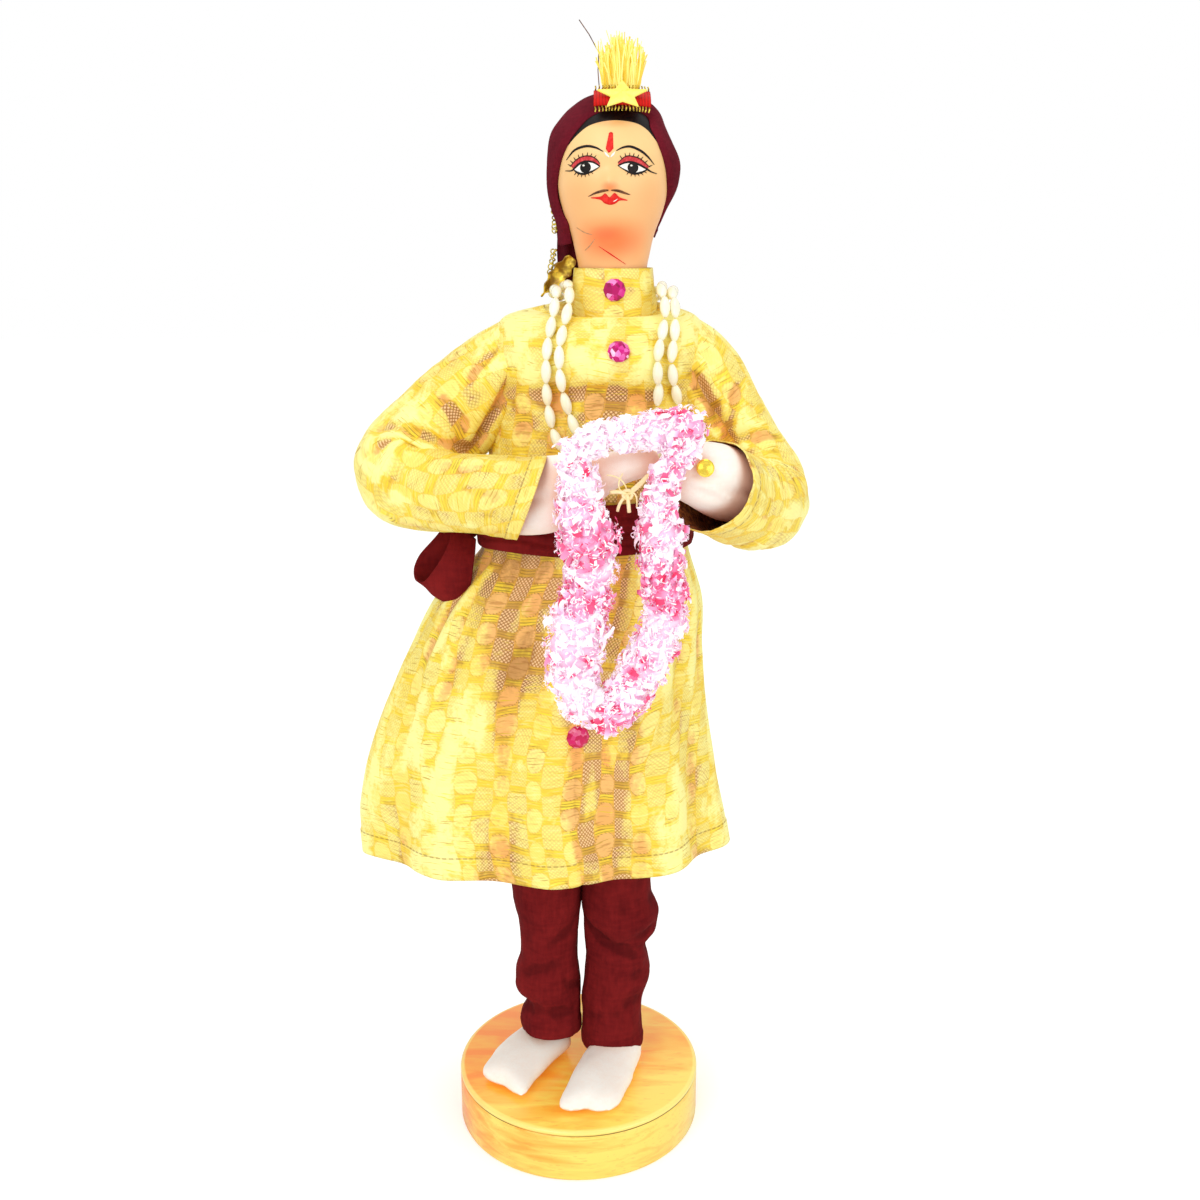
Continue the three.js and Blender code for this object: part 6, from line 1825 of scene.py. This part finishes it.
string(
    "outer_bead_string",
    ((-3.5, 205.4), (-5.7, 210.9), (-6.9, 218.1), (-7.1, 224.7), (-6.8, 230.7), (-6.0, 235.6)),
    (
        (-5.0, -12.4, 241.2), (-4.7, -6.5, 245.0), (-6.0, 2, 244.2), (-4.6, 9, 243.0), (1.5, 15.4, 242),
        (10, 17.6, 241.6), (18.5, 15.4, 242), (24.4, 9, 243.0), (26, 2, 244.2), (25.0, -6.5, 244.6),
        (25.6, -12.2, 240.4),
    ),
    ((25.4, 233.5), (24.7, 228.4), (25.3, 222.3), (26.5, 217.1), (25.6, 211.0), (23, 205.8)),
    ((17.5, 202), (10, 200.6), (2.5, 202)),
    "pearl_strand_outer",
)
string(
    "inner_bead_string",
    ((0.8, 209.0), (-2, 216.7), (-3.5, 223.8), (-3.7, 230.8), (-2.8, 235.6)),
    (
        (-1.4, -13.0, 241.8), (-1.6, -7.4, 246.0), (-3.0, 1, 245.6), (-1.8, 7, 244.6), (3, 12.4, 243.6),
        (10, 14.4, 243.2), (17, 12.4, 243.6), (21.8, 7, 244.6), (23, 1, 245.6), (22.2, -7.4, 245.4),
        (23.0, -12.6, 241),
    ),
    ((22.5, 235.6), (21.3, 230), (21.1, 224.4), (21.4, 219.8), (20, 211.5)),
    ((15, 205.4), (10, 203.6), (5, 205.4)),
    "pearl_strand_inner",
)
bpy.data.objects.remove(bead)


# Garland

# A ring of shredded white cloth and paper petals bound on a thread and held out between the hands.
# Pink and hot pink petals are bound in among the white ones, and a raffia knot and threads hang at the top.
# Each row is a place on the ring seen from the front, x and z, with the strand's radius and how pink it is.
GARLAND = (
    (-0.8, 207.7, 3.4, 0.0), (5.5, 211.4, 3.5, 0.0), (13.4, 212.8, 3.6, 0.1), (19.7, 213.8, 4.4, 0.1),
    (27.4, 213.8, 4.9, 0.5), (24.6, 207.4, 4.0, 0.4), (21.9, 202.0, 3.2, 0.3), (20.6, 196.5, 4.1, 0.25),
    (21.0, 190.5, 5.8, 0.3), (21.1, 184.5, 5.2, 0.6), (22.0, 176.2, 5.4, 0.85), (22.9, 170.1, 5.2, 0.1),
    (20.8, 163.3, 5.8, 0.2), (17.6, 156.4, 6.2, 0.25), (14.3, 150.0, 5.8, 0.35), (10.2, 144.4, 5.4, 0.4),
    (4.3, 144.2, 5.4, 0.05), (0.5, 149.5, 6.4, 0.05), (0.0, 157.0, 7.4, 0.3), (0.8, 164.4, 7.7, 0.1),
    (3.6, 173.4, 6.6, 0.8), (4.2, 183.4, 6.4, 0.15), (2.3, 192.2, 7.5, 0.65), (1.8, 198.7, 6.4, 0.35),
    (1.0, 204.0, 5.0, 0.1), (-0.8, 207.7, 3.4, 0.0),
)
GARLAND_Y = -45
FLOWERS = 25
RING_STEPS = 360
CORE_STEP = 2
CORE_SIDES = 14
STRIP_STEPS = 4
PETALS = 1500
SHREDS = 8000
RING = even_spline(GARLAND)
ring_frames = path_frames([(x, GARLAND_Y, z) for x, z, radius, pink in GARLAND], RING_STEPS, (0, 1, 0))


def strand_radius(t, a):
    return RING(t)[2] * (0.95 + 0.2 * wander(a, 1.5, 60 * t) + 0.12 * math.cos(TURN * FLOWERS * t))


# Petals are tinted point by point: 0 is white, 1 hot pink.
# The petals glow a little of their own, a painted brightening that lifts their shade.
petal = Look("shredded flower cloth", Roughness=0.95, Specular_IOR_Level=0.1, Emission_Strength=0.13)
PETAL_STOPS = ((0.0, "#fdf9fb"), (0.25, "#f8e4f0"), (0.5, "#efb4da"), (0.78, "#f0709c"), (1.0, "#e22450"))
tint = petal.ramp(petal.attribute("Tint"), *PETAL_STOPS)
petal.set(Base_Color=tint, Emission_Color=tint)

chance = random.Random(11)
points, tints = [], []
# The thread's core of bound petal ends. Its pink tint also paints the shade between the petals.
for k in range(0, RING_STEPS, CORE_STEP):
    point, ahead, across, other = ring_frames[k]
    t = k / RING_STEPS
    for a in turns(CORE_SIDES):
        points.append(point + 0.8 * strand_radius(t, a) * (across * math.cos(a) + other * math.sin(a)))
        tints.append(0.28 + 0.6 * RING(t)[3] * abs(math.sin(3 * a + k)))
faces = grid_faces(0, RING_STEPS // CORE_STEP, CORE_SIDES)
last = len(points) - CORE_SIDES
for i in range(CORE_SIDES):
    j = (i + 1) % CORE_SIDES
    faces.append((last + i, last + j, j, i))


def petal_strip(start, along, out, long, half, rise, curl, root, edge):
    """A bent strip that grows from start, tinted root at its foot and edge at its tip."""
    side = along.cross(out).normalized()
    first = len(points)
    for k in range(STRIP_STEPS + 1):
        s = k / STRIP_STEPS
        p = start + along * long * s + out * rise * math.sin(2.4 * s) + side * curl * s * s
        taper = half * (1 - 0.35 * s)
        points.extend((p - side * taper, p + side * taper))
        tints.extend([root + (edge - root) * s] * 2)
    faces.extend(grid_faces(first, STRIP_STEPS + 1, 2, wrap=False))


def on_strand(depth):
    """A chance place on the strand: how pink it is, the place, the way out, a way along the surface, and how
    thickly white petals cover the pink ones there."""
    t = chance.random()
    a = chance.uniform(0, TURN)
    point, ahead, across, other = ring_frames[round(RING_STEPS * t) % RING_STEPS]
    out = across * math.cos(a) + other * math.sin(a)
    along = (ahead * chance.uniform(-1, 1) + out.cross(ahead) * chance.uniform(-1, 1)).normalized()
    cover = 0.5 + 0.9 * wander(a, 2.6, 40 * t)
    return RING(t)[3], point + out * strand_radius(t, a) * depth, out, along, cover


# Broad petals lie on the strand; white ones are pink at the foot, painted shade between the petals, and those
# of the pink flowers are pink all through.
for n in range(PETALS):
    pink, start, out, along, cover = on_strand(chance.uniform(0.8, 0.95))
    hot = pink * 1.25 > cover
    root = chance.uniform(0.7, 1.0) if hot else chance.choice((0.06, 0.14, 0.3, 0.5))
    edge = root * chance.uniform(0.6, 1.0) if hot and chance.random() < 0.6 else 0.05
    petal_strip(
        start, along, out, chance.uniform(2.0, 3.6), chance.uniform(0.5, 1.1), chance.uniform(0.5, 1.1),
        chance.uniform(-0.8, 0.8), root, edge,
    )
# Fine shreds stand out all over, nearly all of them white.
for n in range(SHREDS):
    pink, start, out, along, cover = on_strand(chance.uniform(0.84, 1.0))
    shade = chance.choice((0, 0, 0, 0.1, 0.2, 0.35, 0.5))
    if pink * 0.8 > cover:
        shade = chance.choice((0.0, 0.5, 0.8, 1.0))
    elif chance.random() < 0.06:
        shade = 0.66
    petal_strip(
        start, along, out, chance.uniform(0.7, 1.6), chance.uniform(0.12, 0.26), chance.uniform(0.3, 1.0),
        chance.uniform(-0.6, 0.6), shade, max(0.0, shade - 0.3),
    )
flowers = mesh_piece("garland_petals", points, faces)
point_values(flowers, "Tint", tints)
settle(flowers, petal.material, "garland", "flower_cloth", "garland_flowers")

# Cream raffia knotted round the thread, with the thread's own loose ends.
raffia = speckled("cream raffia", 900, 2, "#f6dc8c", "#fff3cf", Roughness=0.8)
TIE = Vector((13.1, -43.6, 198.2))
# Each loose end is its tip, the point it bends towards and its radius.
TIE_ENDS = (
    ((-4.2, 0, 0.4), (-2, -1, 1.0), 0.5), ((5.0, 0.4, 4.6), (3, -0.6, 2.6), 0.55),
    ((5.6, -0.4, 5.4), (2, -1.2, 0.6), 0.4), ((0.4, -1, -4.2), (0.2, -1.6, -2), 0.5),
    ((2.2, -1, -3.0), (2.6, -1.4, 1.6), 0.22), ((-5.0, 0, 4.6), (-0.5, -1, 4.6), 0.2),
    ((-1.2, 0, 5.0), (-3.6, -1, 1.0), 0.2), ((-2.4, -0.8, -4.0), (-2.0, -1.4, -1.4), 0.42),
)
points, faces = [], []
for tip, middle, radius in TIE_ENDS:
    line = []
    for k in range(9):
        s = k / 8
        line.append(TIE + Vector(middle) * 2 * s * (1 - s) + Vector(tip) * s * s)
    rope(points, faces, line, radius)
# The knot is six short turns.
for start in turns(6):
    line = []
    for k in range(7):
        a = start + 2.4 * k / 6
        line.append(TIE + Vector((1.1 * math.cos(a), -0.5 + 0.5 * math.sin(3 * a), 1.1 * math.sin(a))))
    rope(points, faces, line, 0.4)
settle(mesh_piece("garland_thread", points, faces), raffia, "garland", "raffia", "garland_tie")


size = {"solids": [list(solid_low), list(solid_high)], "dressed": [list(v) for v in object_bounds()]}
